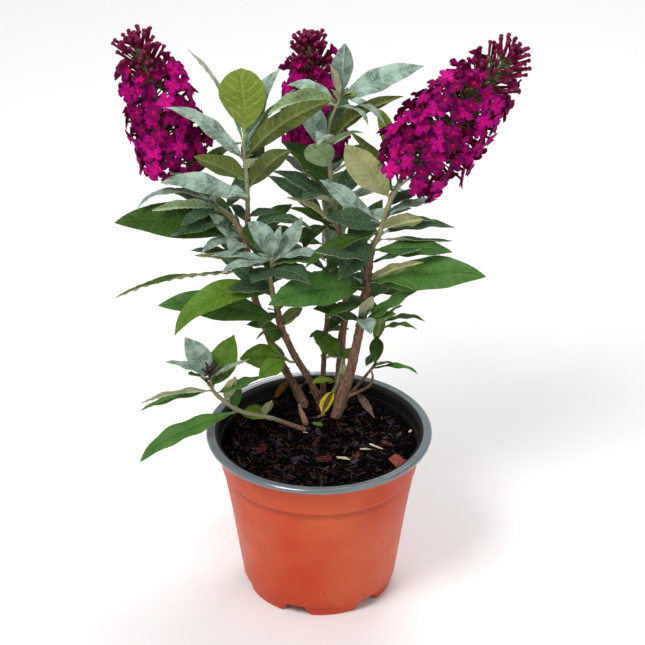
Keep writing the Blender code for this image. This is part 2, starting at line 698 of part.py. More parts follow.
def keep_largest_body(mesh):
    shape = bmesh.new()
    shape.from_mesh(mesh)
    bmesh.ops.remove_doubles(shape, verts=shape.verts, dist=0.000002)
    bmesh.ops.dissolve_degenerate(shape, edges=shape.edges, dist=0.000002)
    bmesh.ops.triangulate(shape, faces=shape.faces)
    islands = []
    unseen = set(shape.verts)
    while unseen:
        island = set()
        edge_of_search = [unseen.pop()]
        while edge_of_search:
            vert = edge_of_search.pop()
            island.add(vert)
            for edge in vert.link_edges:
                other = edge.other_vert(vert)
                if other in unseen:
                    unseen.remove(other)
                    edge_of_search.append(other)
        islands.append(island)
    islands.sort(key=len)
    for island in islands[:-1]:
        bmesh.ops.delete(shape, geom=list(island), context="VERTS")
    shape.to_mesh(mesh)
    shape.free()


def mesh_from(shape, name):
    mesh = bpy.data.meshes.new(name)
    shape.to_mesh(mesh)
    shape.free()
    return mesh


def withered_flower(path):
    # A dried flower head at the twig's tip: a knot of short dead tubes
    tip = path[-1].xyz
    meshes = []
    for index in range(WITHERED_TUBES):
        turn = math.radians(index * GOLDEN_ANGLE)
        slope = math.radians(15 + 10 * index)
        way = Vector((math.cos(turn) * math.cos(slope), math.sin(turn) * math.cos(slope), math.sin(slope)))
        meshes.append(mesh_from(club(tip - way, way, WITHERED_LENGTH, BUD_STALK, WITHERED_RADIUS), "withered"))
    return meshes


def club(root, way, length, thin, thick, spin=0.0):
    # A closed four-sided cone that is thicker at its far end: a bud, or the funnel of an open flower
    facing = way.to_track_quat("Z", "Y").to_matrix().to_4x4() @ Matrix.Rotation(spin, 4, "Z")
    shape = bmesh.new()
    bmesh.ops.create_cone(
        shape, cap_ends=True, segments=4, radius1=thin * MM, radius2=thick * MM, depth=length * MM,
        matrix=Matrix.Translation((root + way * length / 2.0) * MM) @ facing,
    )
    return shape


def outline_at(share):
    for (low, first), (high, second) in zip(SPIKE_OUTLINE, SPIKE_OUTLINE[1:]):
        if share <= high:
            return first + (second - first) * (share - low) / (high - low)
    return SPIKE_OUTLINE[-1][1]


def make_spike(name, spike, ends, parts):
    # The stalk swells to a core where the flowers crowd, and the florets and buds stand out of it
    chance = random.Random(spike["seed"])
    axis = grown_on(ends[spike["on"]], [(*point, SPIKE_STALK) for point in spike["axis"]])
    path = smooth_path(axis, 4)
    buds_from = spike["buds_from"]
    core = list(axis[:2])
    for index in range(1, CORE_RINGS + 1):
        share = CORE_FROM + (1.0 - CORE_FROM) * index / CORE_RINGS
        place = point_along(path, share)
        reach = spike["radius"] * outline_at(share)
        thick = reach * (SPIKE_CORE_SHARE if share < buds_from else BUD_CORE_SHARE)
        core.append((*place.xyz, max(thick, CORE_LEAST)))
    body = tube(name, core, 6, parts, steps=1)
    extras = []
    total = spike["florets"] + spike["buds"]
    for index in range(total):
        open_flower = index < spike["florets"]
        if open_flower:
            share = FLORETS_FROM + (buds_from + 0.02 - FLORETS_FROM) * (index / spike["florets"]) ** 0.9
        else:
            share = buds_from + 0.02 + (0.97 - buds_from) * (index - spike["florets"]) / spike["buds"]
        place = point_along(path, share).xyz
        ahead = way_along(path, share)
        across = ahead.orthogonal().normalized()
        angle = math.radians(index * GOLDEN_ANGLE + chance.uniform(-14, 14))
        outward = Matrix.Rotation(angle, 3, ahead) @ across
        lean = SPIKE_LEAN_FOOT + (SPIKE_LEAN_TIP - SPIKE_LEAN_FOOT) * share
        lean = math.radians(lean + chance.uniform(-SPIKE_LEAN_SPREAD, SPIKE_LEAN_SPREAD))
        way = (ahead * math.cos(lean) + outward * math.sin(lean)).normalized()
        length = spike["radius"] * outline_at(share) / math.sin(lean)
        if open_flower:
            spin = chance.uniform(0, 1.5)
            extras.append(mesh_from(club(place, way, length, FLORET_TUBE, FLORET_RADIUS, spin), "floret"))
        else:
            extras.append(mesh_from(club(place, way, length + BUD_RADIUS, BUD_STALK, BUD_RADIUS), "bud"))
    root = point_along(path, 0.97).xyz
    tip_bud = club(root, way_along(path, 0.97), TIP_BUD_LENGTH, BUD_STALK, BUD_RADIUS)
    extras.append(mesh_from(tip_bud, "tip_bud"))
    return fused(name, body, extras, parts, "flower")


def make_dead_twig(parts):
    path = smooth_path(DEAD_TWIG, 2)
    body = tube("dead_twig", DEAD_TWIG, 6, parts, flat_foot=True)
    blade = mesh_from(leaf_shape(point_along(path, DEAD_LEAF[0]).xyz, DEAD_LEAF), "dead_leaf")
    return fused("dead_twig", body, [blade], parts, "bark")


def end_of(points):
    # The place, direction and radius where a limb or twig ends
    path = smooth_path(points, 2)
    return path[-1].xyz, (path[-1] - path[-2]).xyz.normalized(), path[-1][3]


def grown_on(end, points):
    # The points of a twig that goes straight on from a limb's end, a gap clear of it
    place, ahead, radius = end
    start = place + ahead * GAP
    return [(*start, radius), (*(start + ahead * STRAIGHT_START), radius), *points]


def shoot_paths():
    # The finished points of every twig, by shoot and number
    paths = {}
    for name, shoot in SHOOTS.items():
        for index, twig in enumerate(shoot["twigs"]):
            carried = "on" in shoot and index == 0
            paths[name, index] = grown_on(end_of(STEMS[shoot["on"]]), twig["path"]) if carried else twig["path"]
    return paths


def stands_on_compost(points):
    return points[0][2] <= STEM_FOOT + 0.1


def make_shoots(paths, parts, standing):
    # Every twig stands before the first leaf, so that no leaf of one shoot lies across another's twig.
    twigs = {}
    for (name, index), points in paths.items():
        twigs[name, index] = tube(f"{name}_{index}", points, 6, parts, flat_foot=stands_on_compost(points))
    trees = {key: tree_of(body) for key, body in twigs.items()}
    finished = []
    for name, shoot in SHOOTS.items():
        chance = random.Random(shoot.get("seed", 0))
        others = standing + finished + [tree for (owner, _), tree in trees.items() if owner != name]
        extras = []
        for index, twig in enumerate(shoot["twigs"]):
            path = smooth_path(paths[name, index], 4)
            for leaf in leaves_on(twig, path, others, chance):
                extras.append(mesh_from(leaf_shape(point_along(path, leaf[0]).xyz, leaf), "leaf"))
            if twig.get("withered_flower"):
                extras += withered_flower(path)
            if index:
                side = twigs[name, index]
                extras.append(side.data)
                bpy.data.objects.remove(side, do_unlink=True)
        body = twigs[name, 0]
        body.name = name
        fused(name, body, extras, parts, "leaf", shoot.get("solver", "EXACT"))
        finished.append(tree_of(body))


def centre_on_ground(parts):
    # The origin goes under the middle of the whole plant, on the ground that the pot stands on.
    corners = [vert.co for thing in parts.objects for vert in thing.data.vertices]
    low = Vector([min(corner[axis] for corner in corners) for axis in range(3)])
    high = Vector([max(corner[axis] for corner in corners) for axis in range(3)])
    shift = Vector((-(low.x + high.x) / 2.0, -(low.y + high.y) / 2.0, -low.z))
    for thing in parts.objects:
        thing.data.transform(Matrix.Translation(shift))
    print("centred by", tuple(round(value / MM, 3) for value in shift))


def main():
    clear_scene()
    parts = new_collection("potted_butterfly_bush")
    cutters = new_collection("cutters")
    things = [make_pot(parts, cutters), make_compost(parts)]
    for name, points in STEMS.items():
        stem = tube(name, points, 8, parts, flat_foot=True)
        finish(stem, "bark", smooth=40)
        things.append(stem)
    things.append(make_dead_twig(parts))
    paths = shoot_paths()
    ends = {name: end_of(points) for (name, index), points in paths.items() if index == 0}
    for name, spike in SPIKES.items():
        things.append(make_spike(name, spike, ends, parts))
    make_shoots(paths, parts, [tree_of(thing) for thing in things])
    centre_on_ground(parts)


main()
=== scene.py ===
import math
import random

import bmesh
import bpy
import numpy as np
from mathutils import Matrix, Vector, noise
from mathutils.bvhtree import BVHTree


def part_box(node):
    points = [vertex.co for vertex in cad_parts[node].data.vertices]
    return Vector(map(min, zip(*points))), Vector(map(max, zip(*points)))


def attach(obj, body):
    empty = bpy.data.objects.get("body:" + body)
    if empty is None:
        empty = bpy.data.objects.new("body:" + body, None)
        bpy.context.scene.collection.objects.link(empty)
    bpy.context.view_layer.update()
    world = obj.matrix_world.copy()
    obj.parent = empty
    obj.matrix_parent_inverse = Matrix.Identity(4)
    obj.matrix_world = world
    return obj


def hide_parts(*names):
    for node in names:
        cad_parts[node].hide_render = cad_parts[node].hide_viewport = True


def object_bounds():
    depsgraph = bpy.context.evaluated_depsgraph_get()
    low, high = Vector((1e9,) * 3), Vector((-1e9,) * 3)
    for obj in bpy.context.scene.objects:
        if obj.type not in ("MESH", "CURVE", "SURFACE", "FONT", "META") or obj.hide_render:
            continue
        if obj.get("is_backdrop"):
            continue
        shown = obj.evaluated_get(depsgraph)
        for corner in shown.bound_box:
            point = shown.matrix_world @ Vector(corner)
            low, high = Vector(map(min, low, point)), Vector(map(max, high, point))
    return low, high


# Potted butterfly bush. Sizes are millimetres and degrees, measured from the foot of the pot's axis, and
# become metres in the frame when a piece is made. +Z is up and the front faces -Y. A turn is seen from
# above: 0 is right, 90 is back, 180 is left and 270 is front.

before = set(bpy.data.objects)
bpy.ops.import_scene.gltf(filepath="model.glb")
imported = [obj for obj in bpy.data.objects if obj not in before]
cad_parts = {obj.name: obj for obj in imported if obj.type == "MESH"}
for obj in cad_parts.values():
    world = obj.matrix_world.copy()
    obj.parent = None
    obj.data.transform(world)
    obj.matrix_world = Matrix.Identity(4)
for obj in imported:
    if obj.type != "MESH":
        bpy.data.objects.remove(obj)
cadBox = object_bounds()
boxCorners = [np.array(corner) for corner in cadBox]
mm = 0.001
potLow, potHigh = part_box("pot")
potAxis = Vector(((potLow.x + potHigh.x) / 2.0, (potLow.y + potHigh.y) / 2.0, 0.0))
up = np.array((0.0, 0.0, 1.0))
goldenAngle = 137.5
anyTurn = 6.3  # random turns run from 0 to about a full turn, in radians


# Colours and finishes

def paint(red, green, blue):
    # A colour as it looks on a screen, 0 to 255, in the shader's linear values, by the sRGB curve
    shades = [value / 255.0 for value in (red, green, blue)]
    linear = [s / 12.92 if s <= 0.04045 else ((s + 0.055) / 1.055) ** 2.4 for s in shades]
    return (*linear, 1.0)


def newGroup(name, inputs, outputs):
    tree = bpy.data.node_groups.new(name, "ShaderNodeTree")
    for title, kind in inputs:
        tree.interface.new_socket(name=title, in_out="INPUT", socket_type="NodeSocket" + kind)
    for title, kind in outputs:
        tree.interface.new_socket(name=title, in_out="OUTPUT", socket_type="NodeSocket" + kind)
    return tree, tree.nodes.new("NodeGroupInput").outputs, tree.nodes.new("NodeGroupOutput").inputs


def feed(tree, socket, value):
    if isinstance(value, bpy.types.NodeSocket):
        tree.links.new(value, socket)
    else:
        socket.default_value = value


def sums(tree, operation, *values):
    node = tree.nodes.new("ShaderNodeMath")
    node.operation = operation
    for socket, value in zip(node.inputs, values):
        feed(tree, socket, value)
    return node.outputs[0]


def times(tree, first, second):
    return sums(tree, "MULTIPLY", first, second)


def plus(tree, first, second):
    return sums(tree, "ADD", first, second)


def fade(tree, value, low, high, first=0.0, last=1.0):
    # From first at low to last at high, eased, and level beyond them
    node = tree.nodes.new("ShaderNodeMapRange")
    node.interpolation_type = "SMOOTHSTEP"
    titles = ("Value", "From Min", "From Max", "To Min", "To Max")
    for title, given in zip(titles, (value, low, high, first, last)):
        feed(tree, node.inputs[title], given)
    return node.outputs["Result"]


def blended(tree, share, first, second, way="MIX"):
    # Two colours: the Mix node's inputs 6 and 7 and its output 2 are the ones for colour
    node = tree.nodes.new("ShaderNodeMix")
    node.data_type = "RGBA"
    node.blend_type = way
    feed(tree, node.inputs["Factor"], share)
    feed(tree, node.inputs[6], first)
    feed(tree, node.inputs[7], second)
    return node.outputs[2]


def clouds(tree, place, scale, detail=2.0):
    node = tree.nodes.new("ShaderNodeTexNoise")
    feed(tree, node.inputs["Vector"], place)
    node.inputs["Scale"].default_value = scale
    node.inputs["Detail"].default_value = detail
    return node.outputs["Fac"]


def cells(tree, place, scale, feature="F1"):
    node = tree.nodes.new("ShaderNodeTexVoronoi")
    node.feature = feature
    feed(tree, node.inputs["Vector"], place)
    node.inputs["Scale"].default_value = scale
    return node.outputs["Distance"]


def stretched(tree, place, scale):
    node = tree.nodes.new("ShaderNodeMapping")
    node.inputs["Scale"].default_value = scale
    feed(tree, node.inputs["Vector"], place)
    return node.outputs["Vector"]


# A leaf's face on its vein map, which has the phase of the side veins along X and the way across along Y.
# Four numbers are a fade: from, to, and the values there.
leafFace = {
    "patchScale": 0.45, "grainScale": 7.0, "netScale": 2.5, "wobbleScale": 1.1, "wobble": 0.9,
    "sideVein": (0.02, 0.11, 1.0, 0.0), "midrib": (0.08, 0.2, 1.0, 0.0), "net": (0.02, 0.15, 0.45, 0.0),
    "netByFelt": 1.7, "byTone": 0.5, "byPatch": 0.55, "dark": (0.48, 0.52, 0.52, 1.0),
    "light": (1.42, 1.36, 1.3, 1.0), "feltPatches": (0.35, 0.65, 0.3, 1.3),
    "feltGrain": (0.34, 0.62, 0.45, 1.2), "veinHeight": -0.5, "puckers": (0.0, 0.4), "grainHeight": 0.4,
}


def makeSkinGroup():
    f = leafFace
    inputs = (("Place", "Vector"), ("Flesh", "Color"), ("Vein", "Color"), ("Felt", "Color"),
              ("Vein amount", "Float"), ("Felt amount", "Float"), ("Tone", "Float"))
    tree, given, out = newGroup("leafSkin", inputs, (("Colour", "Color"), ("Height", "Float")))
    place = given["Place"]
    parts = tree.nodes.new("ShaderNodeSeparateXYZ")
    feed(tree, parts.inputs[0], place)
    patches = clouds(tree, place, f["patchScale"])
    grain = clouds(tree, place, f["grainScale"], 3.0)
    wobble = times(tree, sums(tree, "SUBTRACT", clouds(tree, place, f["wobbleScale"]), 0.5), f["wobble"])
    phase = sums(tree, "PINGPONG", plus(tree, parts.outputs["X"], wobble), 0.5)
    sideVein = fade(tree, phase, *f["sideVein"])
    midrib = fade(tree, sums(tree, "ABSOLUTE", parts.outputs["Y"]), *f["midrib"])
    toEdge = cells(tree, place, f["netScale"], "DISTANCE_TO_EDGE")
    netAmount = sums(tree, "MINIMUM", times(tree, given["Felt amount"], f["netByFelt"]), 1.0)
    network = times(tree, fade(tree, toEdge, *f["net"]), netAmount)
    veins = sums(tree, "MAXIMUM", sums(tree, "MAXIMUM", sideVein, midrib), network)
    lightness = plus(tree, times(tree, given["Tone"], f["byTone"]), times(tree, patches, f["byPatch"]))
    shade = blended(tree, lightness, f["dark"], f["light"])
    shaded = blended(tree, 1.0, given["Flesh"], shade, "MULTIPLY")
    cover = times(tree, given["Felt amount"], fade(tree, patches, *f["feltPatches"]))
    cover = times(tree, cover, fade(tree, grain, *f["feltGrain"]))
    felted = blended(tree, cover, shaded, given["Felt"])
    veined = blended(tree, times(tree, veins, given["Vein amount"]), felted, given["Vein"])
    feed(tree, out["Colour"], veined)
    raised = plus(tree, fade(tree, toEdge, *f["puckers"]), times(tree, grain, f["grainHeight"]))
    feed(tree, out["Height"], plus(tree, times(tree, veins, f["veinHeight"]), raised))
    return tree


barkFace = {
    "furrowStretch": (1.0, 1.0, 0.1), "furrowScale": 1000.0, "flakeStretch": (1.0, 1.0, 0.45),
    "flakeScale": 330.0, "lines": (0.3, 0.62), "paleFlakes": (0.54, 0.70, 0.0, 0.34),
    "flakeShade": (168, 142, 118), "youngLines": (0.3, 0.7), "barkInYoung": 0.45, "ageSpread": 0.6,
    "ageEdge": (0.2, 0.8), "lineHeight": 0.7,
}


def makeBarkGroup():
    # Bark with lengthwise fissures that gives way to a felted young twig, by the twig's age, 0 to 1
    f = barkFace
    inputs = (("Place", "Vector"), ("Age", "Float"), ("Bark", "Color"), ("Fissure", "Color"),
              ("Young", "Color"))
    tree, given, out = newGroup("barkAndTwig", inputs, (("Colour", "Color"), ("Height", "Float")))
    furrows = clouds(tree, stretched(tree, given["Place"], f["furrowStretch"]), f["furrowScale"], 3.0)
    flakes = clouds(tree, stretched(tree, given["Place"], f["flakeStretch"]), f["flakeScale"], 3.0)
    lines = fade(tree, furrows, *f["lines"])
    oldBark = blended(tree, lines, given["Fissure"], given["Bark"])
    oldBark = blended(tree, fade(tree, flakes, *f["paleFlakes"]), oldBark, paint(*f["flakeShade"]))
    inFurrow = blended(tree, f["barkInYoung"], given["Young"], given["Bark"])
    youngTwig = blended(tree, fade(tree, furrows, *f["youngLines"]), inFurrow, given["Young"])
    edge = plus(tree, given["Age"], times(tree, sums(tree, "SUBTRACT", flakes, 0.5), f["ageSpread"]))
    feed(tree, out["Colour"], blended(tree, fade(tree, edge, *f["ageEdge"]), youngTwig, oldBark))
    feed(tree, out["Height"], plus(tree, times(tree, lines, f["lineHeight"]), flakes))
    return tree


plasticFace = {
    "cloudScale": 15.0, "cloud": (0.35, 0.7, 0.0, 0.6), "scuffStretch": (1.0, 1.0, 0.3),
    "scuffScale": 260.0, "scuff": (0.60, 0.72, 0.0, 0.22), "speckScale": 95.0,
    "speck": (0.07, 0.10, 1.0, 0.0), "fewScale": 31.0, "few": (0.60, 0.64), "filmScale": 38.0,
    "film": (0.6, 0.8, 0.0, 0.16), "rough": (0.3, 0.7), "scuffHeight": 0.4, "fineScale": 900.0,
}


def makePlasticGroup():
    # Thin formed plastic: cloudy colour, fine scuffs, dark specks of soil and a thin film of it in patches
    f = plasticFace
    inputs = (("Place", "Vector"), ("Colour", "Color"), ("Cloud", "Color"), ("Soil", "Color"),
              ("Soiling", "Float"), ("Smooth", "Float"), ("Scuffed", "Float"))
    outputs = (("Colour", "Color"), ("Roughness", "Float"), ("Height", "Float"))
    tree, given, out = newGroup("formedPlastic", inputs, outputs)
    place = given["Place"]
    cloud = fade(tree, clouds(tree, place, f["cloudScale"], 3.0), *f["cloud"])
    cloudy = blended(tree, cloud, given["Colour"], given["Cloud"])
    scuffs = clouds(tree, stretched(tree, place, f["scuffStretch"]), f["scuffScale"], 5.0)
    scuffed = blended(tree, fade(tree, scuffs, *f["scuff"]), cloudy, given["Cloud"])
    specks = fade(tree, cells(tree, place, f["speckScale"]), *f["speck"])
    few = fade(tree, clouds(tree, place, f["fewScale"], 1.0), *f["few"])
    film = fade(tree, clouds(tree, place, f["filmScale"], 6.0), *f["film"])
    soiled = times(tree, sums(tree, "MAXIMUM", times(tree, specks, few), film), given["Soiling"])
    feed(tree, out["Colour"], blended(tree, soiled, scuffed, given["Soil"]))
    feed(tree, out["Roughness"], fade(tree, scuffs, *f["rough"], given["Smooth"], given["Scuffed"]))
    fine = clouds(tree, place, f["fineScale"])
    feed(tree, out["Height"], plus(tree, times(tree, scuffs, f["scuffHeight"]), fine))
    return tree


materials = {}


def newMaterial(name, roughness, gloss=0.5, sheen=0.0):
    material = bpy.data.materials.new(name)
    materials[name] = material
    material.use_nodes = True
    tree = material.node_tree
    shader = tree.nodes["Principled BSDF"]
    shader.inputs["Roughness"].default_value = roughness
    shader.inputs["Specular IOR Level"].default_value = gloss
    shader.inputs["Sheen Weight"].default_value = sheen
    return tree, shader.inputs


def placed(tree, group, values):
    node = tree.nodes.new("ShaderNodeGroup")
    node.node_tree = group
    for title, value in values.items():
        feed(tree, node.inputs[title], value)
    return node.outputs


def bumped(tree, height, strength, distance):
    node = tree.nodes.new("ShaderNodeBump")
    node.inputs["Strength"].default_value = strength
    node.inputs["Distance"].default_value = distance * mm
    feed(tree, node.inputs["Height"], height)
    return node.outputs["Normal"]


def setSurface(tree, shader, colour, height, strength, distance):
    feed(tree, shader["Base Color"], colour)
    feed(tree, shader["Normal"], bumped(tree, height, strength, distance))


def objectPlace(tree):
    return tree.nodes.new("ShaderNodeTexCoord").outputs["Object"]


def attribute(tree, name):
    node = tree.nodes.new("ShaderNodeAttribute")
    node.attribute_name = name
    return node.outputs["Fac"]


# Each leaf face: flesh, vein and felt colours, how much vein and felt shows, roughness, gloss and sheen
skins = {
    "silverTop": ((56, 86, 58), (194, 214, 200), (172, 199, 184), 0.4, 0.66, 0.8, 0.12, 0.2),
    "tealTop": ((44, 74, 38), (112, 144, 112), (84, 116, 86), 0.5, 0.22, 0.6, 0.12, 0.05),
    "deepTop": ((48, 78, 18), (96, 126, 66), (74, 102, 60), 0.36, 0.12, 0.45, 0.12, 0.0),
    "greenTop": ((64, 110, 36), (104, 144, 78), (96, 136, 88), 0.3, 0.18, 0.45, 0.15, 0.0),
    "brightTop": ((80, 118, 22), (122, 152, 66), (112, 140, 80), 0.4, 0.2, 0.42, 0.1, 0.0),
    "limeTop": ((116, 142, 36), (150, 172, 76), (132, 156, 72), 0.5, 0.15, 0.55, 0.08, 0.0),
    "broadFace": ((112, 132, 44), (162, 180, 96), (134, 152, 74), 0.5, 0.1, 0.55, 0.1, 0.05),
    "feltUnder": ((156, 160, 116), (196, 196, 160), (184, 188, 148), 0.5, 0.6, 0.9, 0.08, 0.15),
    "khakiUnder": ((144, 148, 92), (192, 190, 142), (180, 182, 134), 0.55, 0.55, 0.85, 0.1, 0.1),
    "oliveUnder": ((84, 98, 34), (130, 140, 82), (108, 122, 74), 0.42, 0.35, 0.75, 0.1, 0.05),
    "limeUnder": ((112, 136, 44), (164, 180, 94), (130, 152, 70), 0.85, 0.3, 0.7, 0.1, 0.05),
    "paleUnder": ((126, 160, 84), (206, 224, 190), (164, 192, 146), 0.6, 0.5, 0.8, 0.1, 0.1),
    "yellowTop": ((208, 194, 30), (224, 210, 80), (200, 178, 44), 0.5, 0.1, 0.5, 0.3, 0.0),
    "brownTop": ((104, 70, 26), (140, 102, 44), (120, 88, 42), 0.5, 0.1, 0.7, 0.2, 0.0),
    "dryTop": ((104, 74, 64), (166, 134, 118), (138, 106, 92), 0.6, 0.3, 0.85, 0.1, 0.0),
}


def makeSkins():
    group = makeSkinGroup()
    for name, (flesh, vein, felt, veinAmount, feltAmount, roughness, gloss, sheen) in skins.items():
        tree, shader = newMaterial(name, roughness, gloss, sheen)
        veinMap = tree.nodes.new("ShaderNodeUVMap")
        veinMap.uv_map = "veins"
        skin = placed(tree, group, {
            "Place": veinMap.outputs["UV"], "Tone": attribute(tree, "tone"), "Flesh": paint(*flesh),
            "Vein": paint(*vein), "Felt": paint(*felt), "Vein amount": veinAmount, "Felt amount": feltAmount,
        })
        setSurface(tree, shader, skin["Colour"], skin["Height"], 0.7, 0.45)


# Bark, its fissures, and the felt of a young twig
twigShades = {
    "bark": ((140, 106, 86), (86, 62, 50), (152, 156, 118)),
    "dead": ((168, 134, 110), (104, 74, 58), (186, 160, 134)),
}


def makeTwigMaterials():
    group = makeBarkGroup()
    for name, (bark, fissure, young) in twigShades.items():
        tree, shader = newMaterial(name, 0.86, 0.12)
        look = placed(tree, group, {
            "Place": objectPlace(tree), "Age": attribute(tree, "tone"),
            "Bark": paint(*bark), "Fissure": paint(*fissure), "Young": paint(*young),
        })
        setSurface(tree, shader, look["Colour"], look["Height"], 0.7, 0.5)


# Small things, each with a colour, the colour it is mottled with, roughness and gloss
plainShades = {
    "petal": ((208, 15, 140), (92, 2, 66), 0.7, 0.05),
    "petalDeep": ((144, 6, 94), (68, 1, 48), 0.7, 0.05),
    "petalUnder": ((136, 9, 82), (98, 5, 54), 0.65, 0.08),
    "eye": ((200, 20, 26), (158, 8, 34), 0.5, 0.1),
    "tube": ((138, 10, 44), (96, 6, 30), 0.55, 0.12),
    "bud": ((130, 12, 56), (84, 6, 38), 0.5, 0.15),
    "budKnob": ((134, 20, 74), (88, 10, 50), 0.5, 0.15),
    "calyx": ((134, 138, 100), (92, 100, 64), 0.8, 0.1),
    "chipBlack": ((2, 1, 2), (8, 6, 7), 0.75, 0.05),
    "chipBrown": ((58, 34, 32), (9, 5, 6), 0.7, 0.06),
    "chipViolet": ((62, 48, 66), (12, 8, 13), 0.42, 0.2),
    "chipRust": ((104, 48, 38), (34, 16, 14), 0.65, 0.1),
    "chipBrick": ((188, 102, 90), (132, 62, 54), 0.75, 0.1),
    "chipCrimson": ((96, 26, 32), (40, 9, 13), 0.6, 0.1),
    "chipTan": ((138, 108, 80), (88, 62, 46), 0.8, 0.1),
    "chipCream": ((226, 218, 190), (188, 172, 138), 0.75, 0.15),
    "chipGreen": ((84, 122, 44), (60, 90, 34), 0.55, 0.2),
    "withered": ((48, 42, 46), (88, 80, 82), 0.85, 0.1),
}
chipMottle = {"scale": 560.0, "byTone": 0.45, "byCloud": 0.95}
plantMottle = {"scale": 420.0, "byTone": 0.7, "byCloud": 0.5}


def makePlainMaterials():
    for name, (first, second, roughness, gloss) in plainShades.items():
        tree, shader = newMaterial(name, roughness, gloss)
        f = chipMottle if name.startswith("chip") else plantMottle
        mottle = clouds(tree, objectPlace(tree), f["scale"], 4.0)
        share = fade(tree, mottle, 0.35, 0.65, 0.0, f["byCloud"])
        share = plus(tree, times(tree, attribute(tree, "tone"), f["byTone"]), share)
        setSurface(tree, shader, blended(tree, share, paint(*first), paint(*second)), mottle, 0.3, 0.2)


# Colour, cloudy colour, soil colour, how soiled, the range of roughness, gloss, coat and bump
potShades = {
    "terracotta": ((190, 58, 12), (208, 100, 60), (84, 34, 18), 1.0, (0.34, 0.5), 0.32, 0.0, 0.12),
    # The rim and the inside are one dark inner layer: the rim's lighter grey is partly wear and partly painted
    # light on its top, and the inside's near-black is partly its own colour and partly painted shade
    "greyRimWornAndLit": ((94, 105, 110), (98, 109, 114), (60, 58, 52), 0.15, (0.22, 0.27), 0.7, 1.0, 0.03),
    "darkInsideAndShade": ((17, 18, 18), (32, 32, 31), (13, 10, 9), 1.0, (0.4, 0.6), 0.3, 0.0, 0.12),
}
# The wall is darker just under the collar's ledge, between these heights: painted shade where the ledge shades
# the wall
ledgeShade = {"from": 96.0, "full": 100.6, "edge": 102.8, "amount": 0.42, "colour": (134, 44, 20)}


def shadedUnderLedge(tree, colour):
    # Painted shade: the wall's colour darkened by height just under the collar's ledge
    f = ledgeShade
    parts = tree.nodes.new("ShaderNodeSeparateXYZ")
    feed(tree, parts.inputs[0], objectPlace(tree))
    height = parts.outputs["Z"]
    amount = fade(tree, height, f["from"] * mm, f["full"] * mm, 0.0, f["amount"])
    amount = times(tree, amount, sums(tree, "LESS_THAN", height, f["edge"] * mm))
    return blended(tree, amount, colour, paint(*f["colour"]))


def makePotMaterials():
    group = makePlasticGroup()
    for name, (colour, cloud, soil, soiling, (least, most), gloss, coat, bump) in potShades.items():
        tree, shader = newMaterial(name, least, gloss)
        shader["Coat Weight"].default_value = coat
        shader["Coat Roughness"].default_value = 0.12
        look = placed(tree, group, {
            "Place": objectPlace(tree), "Colour": paint(*colour), "Cloud": paint(*cloud),
            "Soil": paint(*soil), "Soiling": soiling, "Smooth": least, "Scuffed": most,
        })
        shade = shadedUnderLedge(tree, look["Colour"]) if name == "terracotta" else look["Colour"]
        setSurface(tree, shader, shade, look["Height"], bump, 0.2)
        feed(tree, shader["Roughness"], look["Roughness"])


soilForm = {
    "crumbs": 520.0, "lumps": 260.0, "dark": (2, 1, 1), "light": (9, 6, 6), "betweenLumps": (6, 4, 5),
    "lightCrumbs": (0.4, 0.7), "lumpEdge": (0.1, 0.5, 0.5, 0.0),
}


def makeSoilMaterial():
    f = soilForm
    tree, shader = newMaterial("soil", 0.95, 0.03)
    place = objectPlace(tree)
    crumbs = clouds(tree, place, f["crumbs"], 6.0)
    lumps = cells(tree, place, f["lumps"])
    dark = blended(tree, fade(tree, crumbs, *f["lightCrumbs"]), paint(*f["dark"]), paint(*f["light"]))
    colour = blended(tree, fade(tree, lumps, *f["lumpEdge"]), dark, paint(*f["betweenLumps"]))
    setSurface(tree, shader, colour, plus(tree, crumbs, lumps), 1.0, 1.2)


makeSkins()
makeTwigMaterials()
makePlainMaterials()
makePotMaterials()
makeSoilMaterial()
print("materials made", len(materials))


# Patterns: small closed shapes made once, whose points are then bent into every leaf, twig and flower

def patternFrom(shape, **facts):
    shape.normal_update()
    corners = [vert.index for face in shape.faces for vert in face.verts]
    pattern = {
        "points": np.array([vert.co for vert in shape.verts]),
        "corners": np.array(corners, np.int32),
        "sizes": np.array([len(face.verts) for face in shape.faces], np.int32),
        "normals": np.array([face.normal for face in shape.faces]),
        **facts,
    }
    shape.free()
    return pattern


madePatterns = {}


def onlyKind(parts, kind):
    return [part for part in parts if isinstance(part, kind)]


def bladePattern(rows, columns):
    # A flat slab: X is the row along, Y the column across from -1 to 1, Z is 1 on the upper face
    key = "blade", rows, columns
    if key not in madePatterns:
        shape = bmesh.new()
        bmesh.ops.create_grid(shape, x_segments=rows, y_segments=columns, size=1.0)
        raised = bmesh.ops.extrude_face_region(shape, geom=shape.faces[:])["geom"]
        for vert in onlyKind(raised, bmesh.types.BMVert):
            vert.co.z = 1.0
        bmesh.ops.recalc_face_normals(shape, faces=shape.faces)
        shape.verts.index_update()
        pattern = patternFrom(shape)
        pattern["row"] = np.rint((pattern["points"][:, 0] + 1.0) / 2.0 * rows).astype(int)
        pattern["column"] = np.rint(pattern["points"][:, 1] * columns / 2.0).astype(int)
        pattern["upper"] = pattern["normals"][:, 2] > 0.5
        madePatterns[key] = pattern
    return madePatterns[key]


